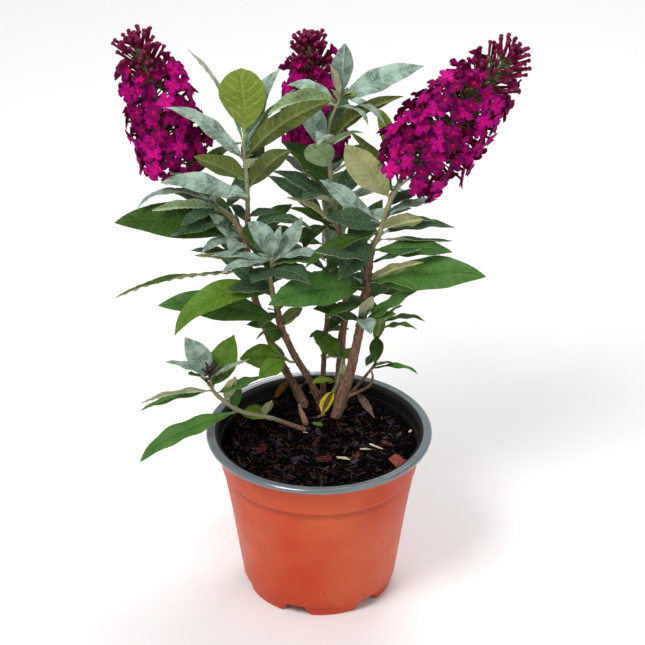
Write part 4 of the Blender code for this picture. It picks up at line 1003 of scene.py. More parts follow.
def growLeaf(bundle, root, leaf, chance):
    b, look = blade, leafKinds[leaf[7]]
    size = look.get("size", 1.0)
    length, width = leaf[3] * size, leaf[4] * size
    leaf = (*leaf[:2], leaf[2] + look.get("lean", 0.0), length, *leaf[4:])
    rows, columns = next(grid for longer, *grid in b["grids"] if length > longer)
    pattern = bladePattern(rows, columns)
    # the midrib, swept to a side, curled at its tip and twisted
    shares = np.linspace(0.0, 1.0, rows + 1)
    places, across, normal = leafFrames(root, leaf, shares)
    places = places + across * (chance.uniform(-1, 1) * b["sweep"] * length * shares**2)[:, None]
    curl = chance.uniform(*b["tipCurl"]) * length * np.maximum(shares - b["curlFrom"], 0.0) ** 2
    places = places - normal * curl[:, None]
    twist = np.radians(chance.uniform(-1, 1) * b["twist"] * (shares - b["twistAbout"]))[:, None]
    flat = across
    across = flat * np.cos(twist) - normal * np.sin(twist)
    normal = normal * np.cos(twist) + flat * np.sin(twist)
    # the toothed outline: y is the share of the way out to the edge
    row, column, raised = pattern["row"], pattern["column"], pattern["points"][:, 2] > 0.5
    share = shares[row]
    y = np.sign(column) * np.array(b["columns"][columns])[np.abs(column)]
    body = outlineAt(share, leaf[7])
    teeth = (share * length / b["toothSpacing"]) % 1.0 - 0.5
    toothed = b["toothDepth"] * teeth * (np.abs(y) > 0.9) * np.minimum(body * 3.0, 1.0)
    half = width / 2.0 * body + toothed * (length > b["toothedFrom"])
    stalkSize = min(1.0, width / b["fullStalkWidth"])
    half = np.maximum(half, np.where(share < 0.5, b["stalkWidth"] * stalkSize, b["tipWidth"]))
    # the blade's relief: side veins, midrib, ripples, fold and rolled edges
    spacing = max(length / look.get("veins", b["veinsPerLeaf"]), b["leastVeinSpacing"])
    phase = (share * length - np.abs(y) ** b["veinCurve"] * half * b["veinLean"]) / spacing
    full = np.minimum(body * 2.0, 1.0)
    relief = -look.get("relief", b["relief"]) * spacing * np.cos(2.0 * math.pi * phase) * full * (1.0 - y**4)
    midrib = -b["midribDepth"] * width * (column == 0) * full
    wave = look["ripple"] * math.sqrt(length / b["waveLength"]) * y**2 * np.sin(math.pi * share)
    waves, start = chance.uniform(*b["waves"]), chance.uniform(0, anyTurn)
    wave = wave * np.sin(2.0 * math.pi * share * waves + start + b["otherHalf"] * (y > 0))
    fold = look["fold"] * (np.sqrt(y**2 + b["foldRound"] ** 2) - b["foldRound"]) * half
    recurve = look["recurve"] * chance.uniform(*b["recurveSpread"]) * half * np.abs(y) ** 3
    # its thickness, and the points and finishes
    thick = b["thickness"] + (b["edgeThickness"] - b["thickness"]) * np.abs(y)
    stalkShare = np.clip(1.0 - share / (b["stalk"] * b["stalkFade"]), 0.0, 1.0)
    thick = thick + (b["stalkThickness"] * stalkSize - thick) * stalkShare
    thick = np.minimum(thick, b["leastThickness"] + width / b["slimness"])
    lift = fold - recurve + relief + wave + midrib * np.where(raised, 1.0, b["midribUnder"])
    lift = lift + np.where(raised, thick, -thick)
    points = places[row] + across[row] * (y * half)[:, None] + normal[row] * lift[:, None]
    veins = np.stack((phase, y * half / spacing), axis=1)
    finishes = np.where(pattern["upper"], *look["faces"])
    if "middle" in look:
        inner = np.abs(y[pattern["corners"]]).reshape(-1, 4).mean(axis=1) < 0.5
        finishes = np.where(inner & pattern["upper"], look["middle"], finishes)
    addShape(bundle, pattern, points, finishes, veins, chance.random())


# Twigs and stems

# "sunk" is how far a limb goes into what carries it, and "fade" how fast bark gives way to felt along it
twigForm = {
    "ringEvery": 1.6, "leastRings": 6, "sides": 12, "sunk": 1.2, "nodeSwelling": 0.22, "nodeLength": 2.2,
    "tip": 0.45, "ridge": 0.05, "ridges": 4.0, "ridgeTwist": 0.05, "fade": 3.0,
}


def ringsAlong(path, form):
    # A limb's rings at even steps: how far along each lies, its place and its radius
    places = np.array([row[:3] for row in path])
    lengths = np.concatenate(([0.0], np.cumsum(np.linalg.norm(np.diff(places, axis=0), axis=1))))
    rings = max(int(lengths[-1] / form["ringEvery"]), form["leastRings"])
    at = np.linspace(-form["sunk"], lengths[-1], rings)
    sampled = np.stack([np.interp(at, lengths, places[:, axis]) for axis in range(3)], axis=1)
    return at, sampled, np.interp(at, lengths, [row[3] for row in path])


def swollen(radius, at, nodes, form):
    for node in nodes:
        away = (at - node) / form["nodeLength"]
        radius = radius * (1.0 + form["nodeSwelling"] * np.exp(-(away**2)))
    return radius


def growTwig(bundle, points, bark, nodes, material="bark"):
    # A felted or barky twig, swollen at its nodes and drawn a little way into the limb that carries it
    f = twigForm
    path = smoothPath(points, 6)
    at, places, radius = ringsAlong(path, f)
    foot, above = np.array(path[0].xyz), np.array(path[1].xyz)
    start = (above - foot) / np.linalg.norm(above - foot)
    places[at < 0.0] = foot + start * at[at < 0.0][:, None]
    radius = swollen(radius, at, [share * at[-1] for share in nodes], f)
    radius[-1] *= f["tip"]
    pattern = sleevePattern(len(at), f["sides"])
    ring = pattern["ring"]
    ridged = 1.0 + f["ridge"] * np.cos(f["ridges"] * pattern["turn"] + at[ring] * f["ridgeTwist"])
    shape = aroundPlaces(pattern, places, framesAlong(places), radius[ring] * ridged)
    age = np.clip(0.5 + (bark - at[ring] / at[-1]) * f["fade"], 0.0, 1.0) if bark > 0.0 else 0.0
    addShape(bundle, pattern, shape, material, tone=age)


# Withered leaves that still hang on the stems, each with its share of the way up the stem
hangingLeaves = {
    "stem_back_left": ((0.26, 223, -36, 19, 6, 20, 10, "faded"), (0.12, 60, 20, 9, 3, 40, 10, "dry")),
    "stem_front_left": ((0.10, 200, 30, 8, 3, 40, 10, "dry"), (0.3, 170, -30, 7, 2.5, 30, 0, "dry")),
    "stem_centre": ((0.35, 205, 10, 9, 3, 50, 10, "dry"), (0.2, 330, 20, 9, 3, 50, 10, "dry")),
}
# Furrows and lumps are an amount, a scale round the stem and one along it
stemForm = {
    "ringEvery": 0.9, "leastRings": 6, "sides": 32, "sunk": 3.0, "foot": 0.16, "footFade": 5.0,
    "firstNode": 9.0, "nodeEvery": 21.0, "nodeSwelling": 0.10, "nodeLength": 1.6,
    "furrow": (0.09, 4.5, 0.06), "lump": (0.06, 1.3, 0.22), "lumpShift": 40.0, "budLength": 2.0,
    "budRadii": (0.7, 0.9, 0.6, 0.2), "budSunk": 0.75, "budRise": 1.2,
}


def reliefOfBark(turn, along, shift):
    # As a share of the radius
    x, y = math.cos(turn), math.sin(turn)
    furrow, about, rise = stemForm["furrow"]
    relief = furrow * noise.noise(Vector((x * about, y * about, along * rise)) + Vector((shift, 0.0, 0.0)))
    lump, about, rise = stemForm["lump"]
    return relief + lump * noise.noise(Vector((x * about, y * about, along * rise + stemForm["lumpShift"])))


def growStem(name, points):
    # A woody stem with its furrows and flaking lumps modelled, swollen at its nodes and at the compost
    f = stemForm
    path = smoothPath(points, 8)
    at, places, radius = ringsAlong(path, f)
    places[:, 2] += np.minimum(at, 0.0)
    radius = radius * (1.0 + f["foot"] * np.exp(-np.maximum(at, 0.0) / f["footFade"]))
    nodes = np.arange(f["firstNode"], at[-1], f["nodeEvery"])
    radius = swollen(radius, at, nodes, f)
    pattern = sleevePattern(len(at), f["sides"])
    first, second = framesAlong(places)
    ring = pattern["ring"]
    relief = np.array([reliefOfBark(turn, spot, path[0][3]) for turn, spot in zip(pattern["turn"], at[ring])])
    bundle = newBundle()
    shape = aroundPlaces(pattern, places, (first, second), radius[ring] * (1.0 + relief))
    addShape(bundle, pattern, shape, "bark", tone=1.0)
    chance = random.Random(len(name))
    for spot in nodes:
        index = int(np.searchsorted(at, spot))
        turn = chance.uniform(0.0, math.pi)
        for half in (0.0, math.pi):
            way = first[index] * math.cos(turn + half) + second[index] * math.sin(turn + half)
            root = places[index] + way * radius[index] * f["budSunk"]
            growBud(bundle, root, way + up * f["budRise"], f["budLength"], f["budRadii"], "bark", chance)
    for leaf in hangingLeaves.get(name, ()):
        growLeaf(bundle, pointAlong(path, leaf[0]).xyz, leaf, chance)
    return pieceFrom(bundle, name + "_bark", (name,), sharp=70.0)


def growBud(bundle, root, way, length, radii, material, chance):
    # A small round thing drawn out along a way: a dormant bud, a calyx or a stalk
    way = np.array(way) / np.linalg.norm(way)
    pattern = sleevePattern(len(radii), 6)
    places = np.array(root) + way * np.linspace(0.0, length, len(radii))[:, None]
    points = aroundPlaces(pattern, places, acrossWays(way, (0.3, 0.9, 0.2)), np.array(radii)[pattern["ring"]])
    addShape(bundle, pattern, points, material, tone=chance.random())


def shootPaths():
    paths = {}
    for name, shoot in shoots.items():
        for index, twig in enumerate(shoot["twigs"]):
            carried = "on" in shoot and index == 0
            paths[name, index] = grownOn(endOf(stems[shoot["on"]]), twig["path"]) if carried else twig["path"]
    return paths


# Small young leaves in the axils of the longer leaves
tuft = {
    "beside": 30.0, "share": 0.55, "length": (7.0, 17.0), "slim": 0.26, "rise": 48.0, "riseSpread": 14,
    "turn": (6.0, 20.0), "droop": 25, "roll": 20, "silverAbove": 230.0,
    "lowKinds": ("khaki", "teal", "lime"),
}


def growShoots(paths):
    total = 0
    for name, shoot in shoots.items():
        tree = solidTree(name)
        chance = random.Random(shoot.get("seed", 0))
        detail = random.Random(name)
        leaves, twigs = newBundle(), newBundle()
        for index, twig in enumerate(shoot["twigs"]):
            path = smoothPath(paths[name, index], 4)
            wanted = list(twig["leaves"])
            if "fill" in twig:
                for leaf in seededLeaves(twig["fill"], chance):
                    wanted.append((*leaf, kindByHeight(pointAlong(path, leaf[0]).z, detail)))
            stood = []
            for leaf in wanted:
                root = pointAlong(path, leaf[0]).xyz
                found = packedLeaf(root, leaf, tree)
                if found:
                    growLeaf(leaves, root, found, detail)
                    stood.append(found)
            for leaf in twig.get("small", ()):
                growLeaf(leaves, pointAlong(path, leaf[0]).xyz, leaf, detail)
            growTufts(leaves, path, stood, detail)
            growTwig(twigs, paths[name, index], twig["bark"], sorted({round(leaf[0], 1) for leaf in stood}))
            if twig.get("withered"):
                growWithered(twigs, path, detail)
            total += len(stood)
        pieceFrom(leaves, name + "_leaves", (name,))
        pieceFrom(twigs, name + "_twigs", (name,), sharp=60.0)
    print("leaves placed as in the solids", total)


def growTufts(leaves, path, stood, detail):
    # Each tuft stays within the reach of the leaf beside it
    t = tuft
    for leaf in stood:
        if leaf[3] < t["beside"] or detail.random() > t["share"]:
            continue
        root = pointAlong(path, leaf[0]).xyz
        for side in (-1, 1):
            length = detail.uniform(*t["length"])
            turn = leaf[1] + side * detail.uniform(*t["turn"])
            rise = t["rise"] + detail.uniform(-t["riseSpread"], t["riseSpread"])
            kind = "silver" if root.z > t["silverAbove"] else detail.choice(t["lowKinds"])
            roll = detail.uniform(-t["roll"], t["roll"])
            small = (leaf[0], turn, rise, length, length * t["slim"], t["droop"], roll, kind)
            growLeaf(leaves, root, small, detail)


# A dried flower head: curled dead tubes round the twig's tip
witheredHead = {
    "tubes": 22, "firstSlope": -10, "slopeStep": 4.6, "length": (6.5, 11.0), "straight": 0.6, "curl": 0.35,
    "curlRise": 0.2, "radii": (0.5, 0.65, 0.75),
}


def growWithered(bundle, path, detail):
    w = witheredHead
    tip = np.array(path[-1].xyz)
    for index in range(w["tubes"]):
        turn = math.radians(index * goldenAngle)
        slope = math.radians(w["firstSlope"] + w["slopeStep"] * index)
        way = np.array((math.cos(turn) * math.cos(slope), math.sin(turn) * math.cos(slope), math.sin(slope)))
        length = detail.uniform(*w["length"])
        middle = tip + way * length * w["straight"]
        curled = np.array((detail.uniform(-1, 1), detail.uniform(-1, 1), w["curlRise"]))
        end = middle + (way * (1.0 - w["straight"]) + curled * w["curl"]) * length
        rows = [(*place, radius) for place, radius in zip((tip - way, middle, end), w["radii"])]
        growCord(bundle, rows, "withered", detail.random())


def growCord(bundle, rows, material, tone, rings=7, sides=6):
    # A thin round strand through a few points
    path = smoothPath(rows, 4)
    picked = np.array([pointAlong(path, share) for share in np.linspace(0.0, 1.0, rings)])
    places = picked[:, :3]
    pattern = sleevePattern(rings, sides)
    points = aroundPlaces(pattern, places, framesAlong(places), picked[:, 3][pattern["ring"]])
    addShape(bundle, pattern, points, material, tone=tone)


for stemName, stemPoints in stems.items():
    growStem(stemName, stemPoints)
growShoots(shootPaths())
print("stems and foliage grown")


# Flower spikes

spikes = {
    "flower_spike_left": {
        "seed": 5, "on": "foliage_left", "axis": ((-110, 78, 335), (-120, 79, 374), (-134, 80, 417)),
        "radius": 28.5, "florets": 122,
    },
    "flower_spike_back": {
        "seed": 7, "on": "foliage_back", "axis": ((-2, 103, 341), (-4, 105, 372), (-8, 108, 405)),
        "radius": 24.0, "florets": 90,
    },
    "flower_spike_right": {
        "seed": 9, "on": "foliage_right", "axis": ((84, 41, 352), (113, 44, 390), (141, 46, 423)),
        "radius": 33.0, "florets": 150,
    },
}
# Shares are of the way along the spike, reaches are shares of its radius, and "outline" is how full it is
spikeForm = {
    "stalk": 1.6, "stalkTaper": 0.045, "leanFoot": 100.0, "leanTip": 34.0, "leanSpread": 7.0,
    "margins": (3.0, 1.9), "floretsFrom": 0.05, "floretsTo": 0.70, "floretReach": (0.76, 1.04),
    "floretTurn": 9, "halfOpen": (0.61, 0.35), "budsFrom": 0.64, "budsTo": 0.93, "budReach": (0.84, 1.02),
    "budTube": (12.5, 15.5), "budSize": (0.88, 1.1), "leastBud": 10.0, "tipRoom": 4.0, "whorls": 6,
    "whorlSpread": 0.015, "bunch": 7, "bunchTurn": 46.0, "bunchSpread": 6, "bunchLean": 12.0, "tipBuds": 8,
    "tipLean": (6.0, 26.0), "tipReach": (1.0, 1.2),
    "outline": ((0.0, 0.20), (0.05, 0.80), (0.14, 0.98), (0.34, 1.0), (0.55, 0.82), (0.72, 0.66), (0.9, 0.48),
                (1.0, 0.22)),
}

# The turned outline of an open flower: radius, height, how lobed, and the finish of the band above it. A
# lobe is turns from its middle and how far out the edge is there. Close is how far a half-open flower draws
# up and in.
floretForm = {
    "radius": 7.8, "size": (0.86, 1.08), "tube": 12.0, "faceTilt": 0.26, "lobeSize": (0.88, 1.06),
    "bend": 0.24, "ruffle": 0.04, "ruffles": 6.0, "close": (0.9, 0.6), "deepShare": 0.4, "shade": 0.5,
    # How much darker each lobe's outer edge is: partly the petals' own deeper edges and partly painted shade
    # outlining each flower
    "edgeDeepAndShade": 0.6,
    "lobe": ((-45.0, 0.48), (-33.0, 0.90), (-12.0, 1.02), (12.0, 1.02), (33.0, 0.90)),
    "profile": (
        (0.11, -1.0, 0.0, "tube"), (0.15, -0.22, 0.0, "petalUnder"), (1.0, -0.02, 1.0, "petal"),
        (0.52, 0.06, 0.5, "petal"), (0.155, -0.09, 0.0, "eye"),
    ),
}
calyxForm = {
    "length": 3.6, "least": 1.2, "radii": (0.5, 1.05, 1.2, 1.0), "floretAt": 0.9, "budOverlap": 1.4,
    "stalkFrom": 1.5, "stalkOverlap": 0.4, "stalkRadii": (0.8, 0.6, 0.6),
}
budForm = {
    "radii": (0.7, 0.94, 1.04, 1.15, 1.75, 1.6, 0.8), "along": (0.0, 0.3, 0.65, 0.82, 0.9, 0.97, 1.01),
    "sides": 8, "knobFrom": 2, "mostOfReach": 0.9,
}


def outlineOfSpike(share):
    rows = spikeForm["outline"]
    for (low, first), (high, second) in zip(rows, rows[1:]):
        if share <= high:
            return first + (second - first) * (share - low) / (high - low)
    return rows[-1][1]


def wayAlong(path, share):
    before = pointAlong(path, max(share - 0.03, 0.0))
    after = pointAlong(path, min(share + 0.03, 1.0))
    return (after - before).xyz.normalized()


def acrossOf(way, spin):
    first, second = acrossWays(way, (0.31, 0.87, 0.38))
    return first * math.cos(spin) + second * math.sin(spin), second * math.cos(spin) - first * math.sin(spin)


def growFloret(bundle, centre, way, openness, chance):
    # Four rounded lobes round an orange-red eye, on a tube that runs back to the calyx
    f = floretForm
    profile, outline = f["profile"], np.array(f["lobe"])
    sides = 4 * len(outline)
    pattern = sleevePattern(len(profile), sides)
    ring = pattern["ring"]
    step = np.rint(pattern["turn"] / (2.0 * math.pi) * sides).astype(int) % sides
    lobeNumber, spot = np.divmod(step, len(outline))
    turn = np.radians(90.0 * lobeNumber + outline[spot, 0])
    lobe = outline[spot, 1]
    tilt = np.array([chance.gauss(0.0, 1.0) for _ in range(3)]) * f["faceTilt"]
    facing = way + tilt - way * np.dot(tilt, way)
    facing /= np.linalg.norm(facing)
    first, second = acrossOf(facing, chance.uniform(0.0, math.pi / 2.0))
    size = f["radius"] * chance.uniform(*f["size"])
    radii, heights, lobed = (np.array([row[index] for row in profile])[ring] for index in range(3))
    lobeSizes = np.array([chance.uniform(*f["lobeSize"]) for _ in range(4)])[lobeNumber]
    radius = size * radii * (1.0 - lobed + lobed * lobe * lobeSizes)
    bends = np.array([chance.uniform(-f["bend"], f["bend"]) for _ in range(4)])[lobeNumber]
    edge = (ring == 2).astype(float)
    drawnUp, drawnIn = ((1.0 - openness) * amount for amount in f["close"])
    ruffle = f["ruffle"] * np.sin(f["ruffles"] * turn + chance.uniform(0.0, anyTurn))
    height = size * (heights + edge * (ruffle + drawnUp))
    height = height + size * bends * radii**2 * (ring >= 2)
    radius = radius * (1.0 - drawnIn * edge)
    outward = first * np.cos(turn)[:, None] + second * np.sin(turn)[:, None]
    points = centre + facing * height[:, None] + outward * radius[:, None]
    tubeEnd = centre - way * f["tube"] + outward * radius[:, None]
    points = np.where((ring == 0)[:, None], tubeEnd, points)
    bands = np.array([row[3] for row in profile])[pattern["band"]]
    if chance.random() < f["deepShare"]:
        bands = np.where(bands == "petal", "petalDeep", bands)
    # The outer edges take the darker petal colour: partly their own deeper colour and partly painted shade
    # between the flowers
    addShape(bundle, pattern, points, bands, tone=chance.uniform(0.0, f["shade"]) + f["edgeDeepAndShade"] * edge)


def reachInBox(place, way, reach, margin):
    # How far out along its way a flower may stand before it leaves the solids' box
    low, high = [(corner - np.array(potAxis)) / mm for corner in boxCorners]
    for at, step, least, most in zip(place, way, low + margin, high - margin):
        if abs(step) > 0.01:
            reach = min(reach, ((most if step > 0.0 else least) - at) / step)
    return reach


def growSpike(name, spike, ends):
    f = spikeForm
    chance = random.Random(spike["seed"])
    flowers, buds, stalks = newBundle(), newBundle(), newBundle()
    path = smoothPath(grownOn(ends[spike["on"]], [(*point, f["stalk"]) for point in spike["axis"]]), 4)
    tapered = [(*row[:3], row[3] * (1.0 - f["stalkTaper"] * index)) for index, row in enumerate(path[::2])]
    growTwig(stalks, tapered, 0.0, ())
    floretMargin, budMargin = f["margins"]
    for share, way, reach, openness in openFlowers(spike, path, chance):
        place = np.array(pointAlong(path, share).xyz)
        reach = reachInBox(place, way, reach, floretMargin)
        growFloret(flowers, place + way * reach, way, openness, chance)
        growCalyx(stalks, place, way, reach - floretForm["tube"] * calyxForm["floretAt"], chance)
    for share, way, reach in closedFlowers(spike, path, chance):
        place = np.array(pointAlong(path, share).xyz)
        reach = reachInBox(place, way, reach, budMargin)
        length = min(reach * budForm["mostOfReach"], chance.uniform(*f["budTube"]))
        growBudTube(buds, place + way * (reach - length), way, length, chance.uniform(*f["budSize"]), chance)
        growCalyx(stalks, place, way, reach - length + calyxForm["budOverlap"], chance)
    for part, bundle in (("florets", flowers), ("buds", buds), ("stalks", stalks)):
        pieceFrom(bundle, name + "_" + part, (name,), sharp=60.0)


def wayOut(path, share, turn, lean):
    ahead = np.array(wayAlong(path, share))
    out, _ = acrossOf(ahead, math.radians(turn))
    return ahead * math.cos(math.radians(lean)) + out * math.sin(math.radians(lean))


def leanAt(share, chance):
    f = spikeForm
    lean = f["leanFoot"] + (f["leanTip"] - f["leanFoot"]) * share
    return lean + chance.uniform(-f["leanSpread"], f["leanSpread"])


def reachAt(spike, share, lean):
    return spike["radius"] * outlineOfSpike(share) / math.sin(math.radians(lean))


def openFlowers(spike, path, chance):
    # Spread evenly over the spike's skin, each a golden angle round from the one below
    f = spikeForm
    shares = np.linspace(f["floretsFrom"], f["floretsTo"], 60)
    skin = np.cumsum([outlineOfSpike(share) for share in shares])
    halfOpenFrom, leastOpen = f["halfOpen"]
    for index in range(spike["florets"]):
        share = float(np.interp((index + 0.5) / spike["florets"] * skin[-1], skin, shares))
        lean = leanAt(share, chance)
        turn = index * goldenAngle + chance.uniform(-f["floretTurn"], f["floretTurn"])
        openness = 1.0 if share < halfOpenFrom else chance.uniform(leastOpen, 1.0)
        reach = reachAt(spike, share, lean) * chance.uniform(*f["floretReach"])
        yield share, wayOut(path, share, turn, lean), reach, openness


def closedFlowers(spike, path, chance):
    # Two opposite bunches of buds at each whorl, a right angle round from the one below, and some at the tip
    f = spikeForm
    spread, bunchSpread = f["whorlSpread"], f["bunchSpread"]
    long = sum((b - a).xyz.length for a, b in zip(path, path[1:]))
    for whorl in range(f["whorls"]):
        middle = f["budsFrom"] + (f["budsTo"] - f["budsFrom"]) * whorl / (f["whorls"] - 1)
        count = f["bunch"] if whorl < f["whorls"] - 2 else f["bunch"] - 1
        for half in (0, 180):
            for index in range(count):
                side = 2.0 * index / (count - 1) - 1.0
                share = middle + chance.uniform(-spread, spread)
                lean = leanAt(share, chance) + f["bunchLean"] * (1.0 if index % 2 else -1.0)
                turn = 90 * whorl + half + f["bunchTurn"] * side + chance.uniform(-bunchSpread, bunchSpread)
                reach = reachAt(spike, share, lean) * chance.uniform(*f["budReach"])
                room = ((1.0 - share) * long + f["tipRoom"]) / math.cos(math.radians(lean))
                yield share, wayOut(path, share, turn, lean), max(min(reach, room), f["leastBud"])
    for index in range(f["tipBuds"]):
        way = wayOut(path, f["budsTo"], index * goldenAngle, chance.uniform(*f["tipLean"]))
        yield f["budsTo"], way, f["leastBud"] * chance.uniform(*f["tipReach"])


def growCalyx(bundle, place, way, end, chance):
    # A pale felted cup under each flower, on a short stalk from the spike's middle
    c = calyxForm
    start = max(end - c["length"], 0.0)
    growBud(bundle, place + way * start, way, max(end - start, c["least"]), c["radii"], "calyx", chance)
    if start > c["stalkFrom"]:
        growBud(bundle, place, way, start + c["stalkOverlap"], c["stalkRadii"], "calyx", chance)


def growBudTube(bundle, root, way, length, size, chance):
    # A closed flower: a slim tube with a round knob at its end
    radii, along = np.array(budForm["radii"]) * size, np.array(budForm["along"]) * length
    pattern = sleevePattern(len(radii), budForm["sides"])
    across = acrossOf(way, chance.uniform(0.0, anyTurn))
    points = aroundPlaces(pattern, root + way * along[:, None], across, radii[pattern["ring"]])
    finishes = np.where(pattern["band"] >= budForm["knobFrom"], "budKnob", "bud")
    addShape(bundle, pattern, points, finishes, tone=chance.random())


spikeEnds = {name: endOf(points) for (name, index), points in shootPaths().items() if index == 0}
for spikeName, spikeFacts in spikes.items():
    growSpike(spikeName, spikeFacts, spikeEnds)
print("flower spikes grown")

# Dead twig with its withered leaf

deadTwig = {
    "path": ((20, 47.5, 124, 1.3), (21, 48, 130, 1.2), (28, 49, 134, 1.1), (38, 51, 139, 1.0),
             (41, 52, 147, 0.8), (39, 52, 154, 0.7)),
    "leaf": (0.36, 295, -12, 30, 6, 20, 25, "dry"), "nodes": (0.3, 0.62, 0.8, 1.0), "seed": 3,
}


def makeDeadTwig():
    f = deadTwig
    bundle = newBundle()
    growTwig(bundle, f["path"], 1.0, f["nodes"], "dead")
    root = pointAlong(smoothPath(f["path"], 2), f["leaf"][0]).xyz
    growLeaf(bundle, root, f["leaf"], random.Random(f["seed"]))
    pieceFrom(bundle, "dead_twig_and_leaf", ("dead_twig",), sharp=60.0)


makeDeadTwig()


# Pot

potForm = {
    "rim": 85.0, "rimWidth": 6.6, "height": 133.0, "rimDepth": 3.9, "rimUnderside": 5, "wall": 1.3,
    "collarTop": 76.0, "collarLow": 73.6, "step": 103.0, "stepWidth": 1.9, "wallFoot": 58.2, "base": 9.5,
    "footOuter": 55.8, "footInner": 46.0, "feet": 6, "firstFoot": 11.4, "footHalfLow": 16.5,
    "footHalfHigh": 25.0, "gapRoof": 7.9, "sides": 192,
}


def potProfile():
    # Radius and height, from the middle of the floor up the inner wall, over the rim and down to the feet
    f = potForm
    h, rim, step, low, high = f["height"], f["rim"], f["step"], f["collarLow"], f["collarTop"]
    foot, base, outer, inner, wall = f["wallFoot"], f["base"], f["footOuter"], f["footInner"], f["wall"]
    under = h - f["rimDepth"]
    wallTop = low - f["stepWidth"]
    slope = (wallTop - foot) / (step - base)
    floor = base + wall
    lip, top = rim - f["rimWidth"], high - wall
    inside = [
        (0.0, floor), (foot - 5.5, floor), (foot - 3.2, floor + 0.5), (foot - 1.5, floor + 2.2),
        (foot - wall + slope * 30.0, base + 30.0), (wallTop - wall - 0.1, step - 0.8),
        (wallTop - wall + 0.3, step + 0.4), (low - wall, step + 1.8), (top - 0.8, under - 7.8),
        (top - 0.6, under - 7.0), (top + 0.2, under - 6.6), (top + 0.3, under - 3.6),
        (top + 0.5, under - 3.0), (top + 0.55, under - 2.7), (top + 0.6, under - 0.4),
        (top + 1.0, under + 1.0), (top + 2.2, h - 1.9), (lip - 0.9, h - 1.5), (lip - 0.15, h - 1.1),
    ]
    roll = [
        (lip + 0.05, h - 0.9), (lip + 0.7, h - 0.4), (lip + 1.5, h - 0.25), (lip + 2.2, h - 0.42),
        (lip + 2.7, h - 0.5), (lip + 3.2, h - 0.3), (lip + 4.0, h), (lip + 4.9, h - 0.15),
        (rim - 0.75, h - 0.8), (rim - 0.2, h - 1.6), (rim, h - 2.5), (rim - 0.25, under + 0.35),
        (rim - 0.8, under), (rim - 1.5, under + 0.2), (rim - 4.0, under + 0.7), (high + 1.6, under + 0.6),
        (high + 0.5, under + 0.1),
    ]
    outside = [
        (high + 0.05, under - 0.6), (high - 0.05, under - 2.0), (low + 0.35, step + 4.0),
        (low + 0.35, step + 2.6), (low + 0.1, step + 1.6), (low - 0.5, step + 0.6),
        (wallTop + 0.1, step - 0.1), (wallTop - 0.35, step - 1.0), (wallTop - 0.35, step - 2.6),
        (wallTop - 0.3, step - 7.0), (foot + slope * 60.0, base + 60.0), (foot + slope * 30.0, base + 30.0),
        (foot + slope * 1.6, base + 1.6), (foot + 0.05, base + 0.5), (foot - 0.3, base - 0.3),
        (foot - 1.1, base - 0.9), (outer + 0.15, base - 1.1), (outer, base - 1.5), (outer - 0.6, 1.2),
        (outer - 0.9, 0.35), (outer - 1.7, 0.0), (inner + 1.2, 0.0), (inner + 0.4, 0.35), (inner, 1.2),
        (inner - 1.8, base - 0.6), (inner - 2.6, base), (0.0, base),
    ]
    return inside, roll, outside


def makePot():
    f = potForm
    inside, roll, outside = potProfile()
    profile = [(radius * mm, height * mm) for radius, height in inside + roll + outside]
    shape, rowOf = spunShape(profile, f["sides"], 0.00001)
    # the wall's foot is cut away between the feet
    foot = 360.0 / f["feet"]
    for vert in shape.verts:
        turn = math.degrees(math.atan2(vert.co.y, vert.co.x)) + 90.0 - f["firstFoot"]
        fromFoot = abs((turn + foot / 2.0) % foot - foot / 2.0)
        rise = (fromFoot - f["footHalfLow"]) / (f["footHalfHigh"] - f["footHalfLow"])
        rise = min(max(rise, 0.0), 1.0)
        lift = f["gapRoof"] * rise * rise * (3.0 - 2.0 * rise) * mm
        vert.co.z = max(vert.co.z, lift)
    # the dark inner layer up the inside, darker there as painted shade, and lighter grey over the rim as far
    # as its underside, partly wear and partly painted light
    rimFirst, rimLast = len(inside), len(inside) + len(roll) - f["rimUnderside"]
    for face in shape.faces:
        row = min(vert[rowOf] for vert in face.verts)
        face.material_index = 2 if row < rimFirst else 1 if row < rimLast else 0
    spunPiece("pot_shell", shape, ("terracotta", "greyRimWornAndLit", "darkInsideAndShade"), "pot", 40.0)


makePot()
print("pot made")


# Compost: a crumbly surface with bark chips, fibres and a few pale slivers on it

# Lumps are an amount, a scale and a seed
compostForm = {
    "level": 122.0, "edgeLevel": 118.4, "flat": 62.0, "edge": 72.6, "bottom": 14.0, "bottomRadius": 55.0,
    "rings": 46, "sides": 168, "lumps": (1.8, 0.09, 3.0), "clods": (1.6, 0.24, 9.0),
    "grains": (0.7, 0.7, 1.0),
}


def lumpAt(x, y, kind):
    amount, scale, seed = compostForm[kind]
    return amount * noise.noise(Vector((x * scale, y * scale, seed)))


def compostHeight(x, y):
    f = compostForm
    share = min(max((math.hypot(x, y) - f["flat"]) / (f["edge"] - f["flat"]), 0.0), 1.0)
    level = f["level"] + (f["edgeLevel"] - f["level"]) * share
    return level + (lumpAt(x, y, "lumps") + lumpAt(x, y, "clods")) + lumpAt(x, y, "grains")


def makeCompost():
    f = compostForm
    profile = [(f["edge"] * (index / f["rings"]), 0.0) for index in range(f["rings"] + 1)]
    profile += [(f["bottomRadius"], -1.0), (0.0, -1.0)]  # below the surface, until each gets its height
    shape, _ = spunShape(profile, f["sides"], 0.001)
    for vert in shape.verts:
        vert.co.z = f["bottom"] if vert.co.z < -0.5 else compostHeight(vert.co.x, vert.co.y)
    bmesh.ops.scale(shape, verts=shape.verts, vec=(mm, mm, mm))
    spunPiece("compost_surface", shape, ("soil",), "compost", 60.0)


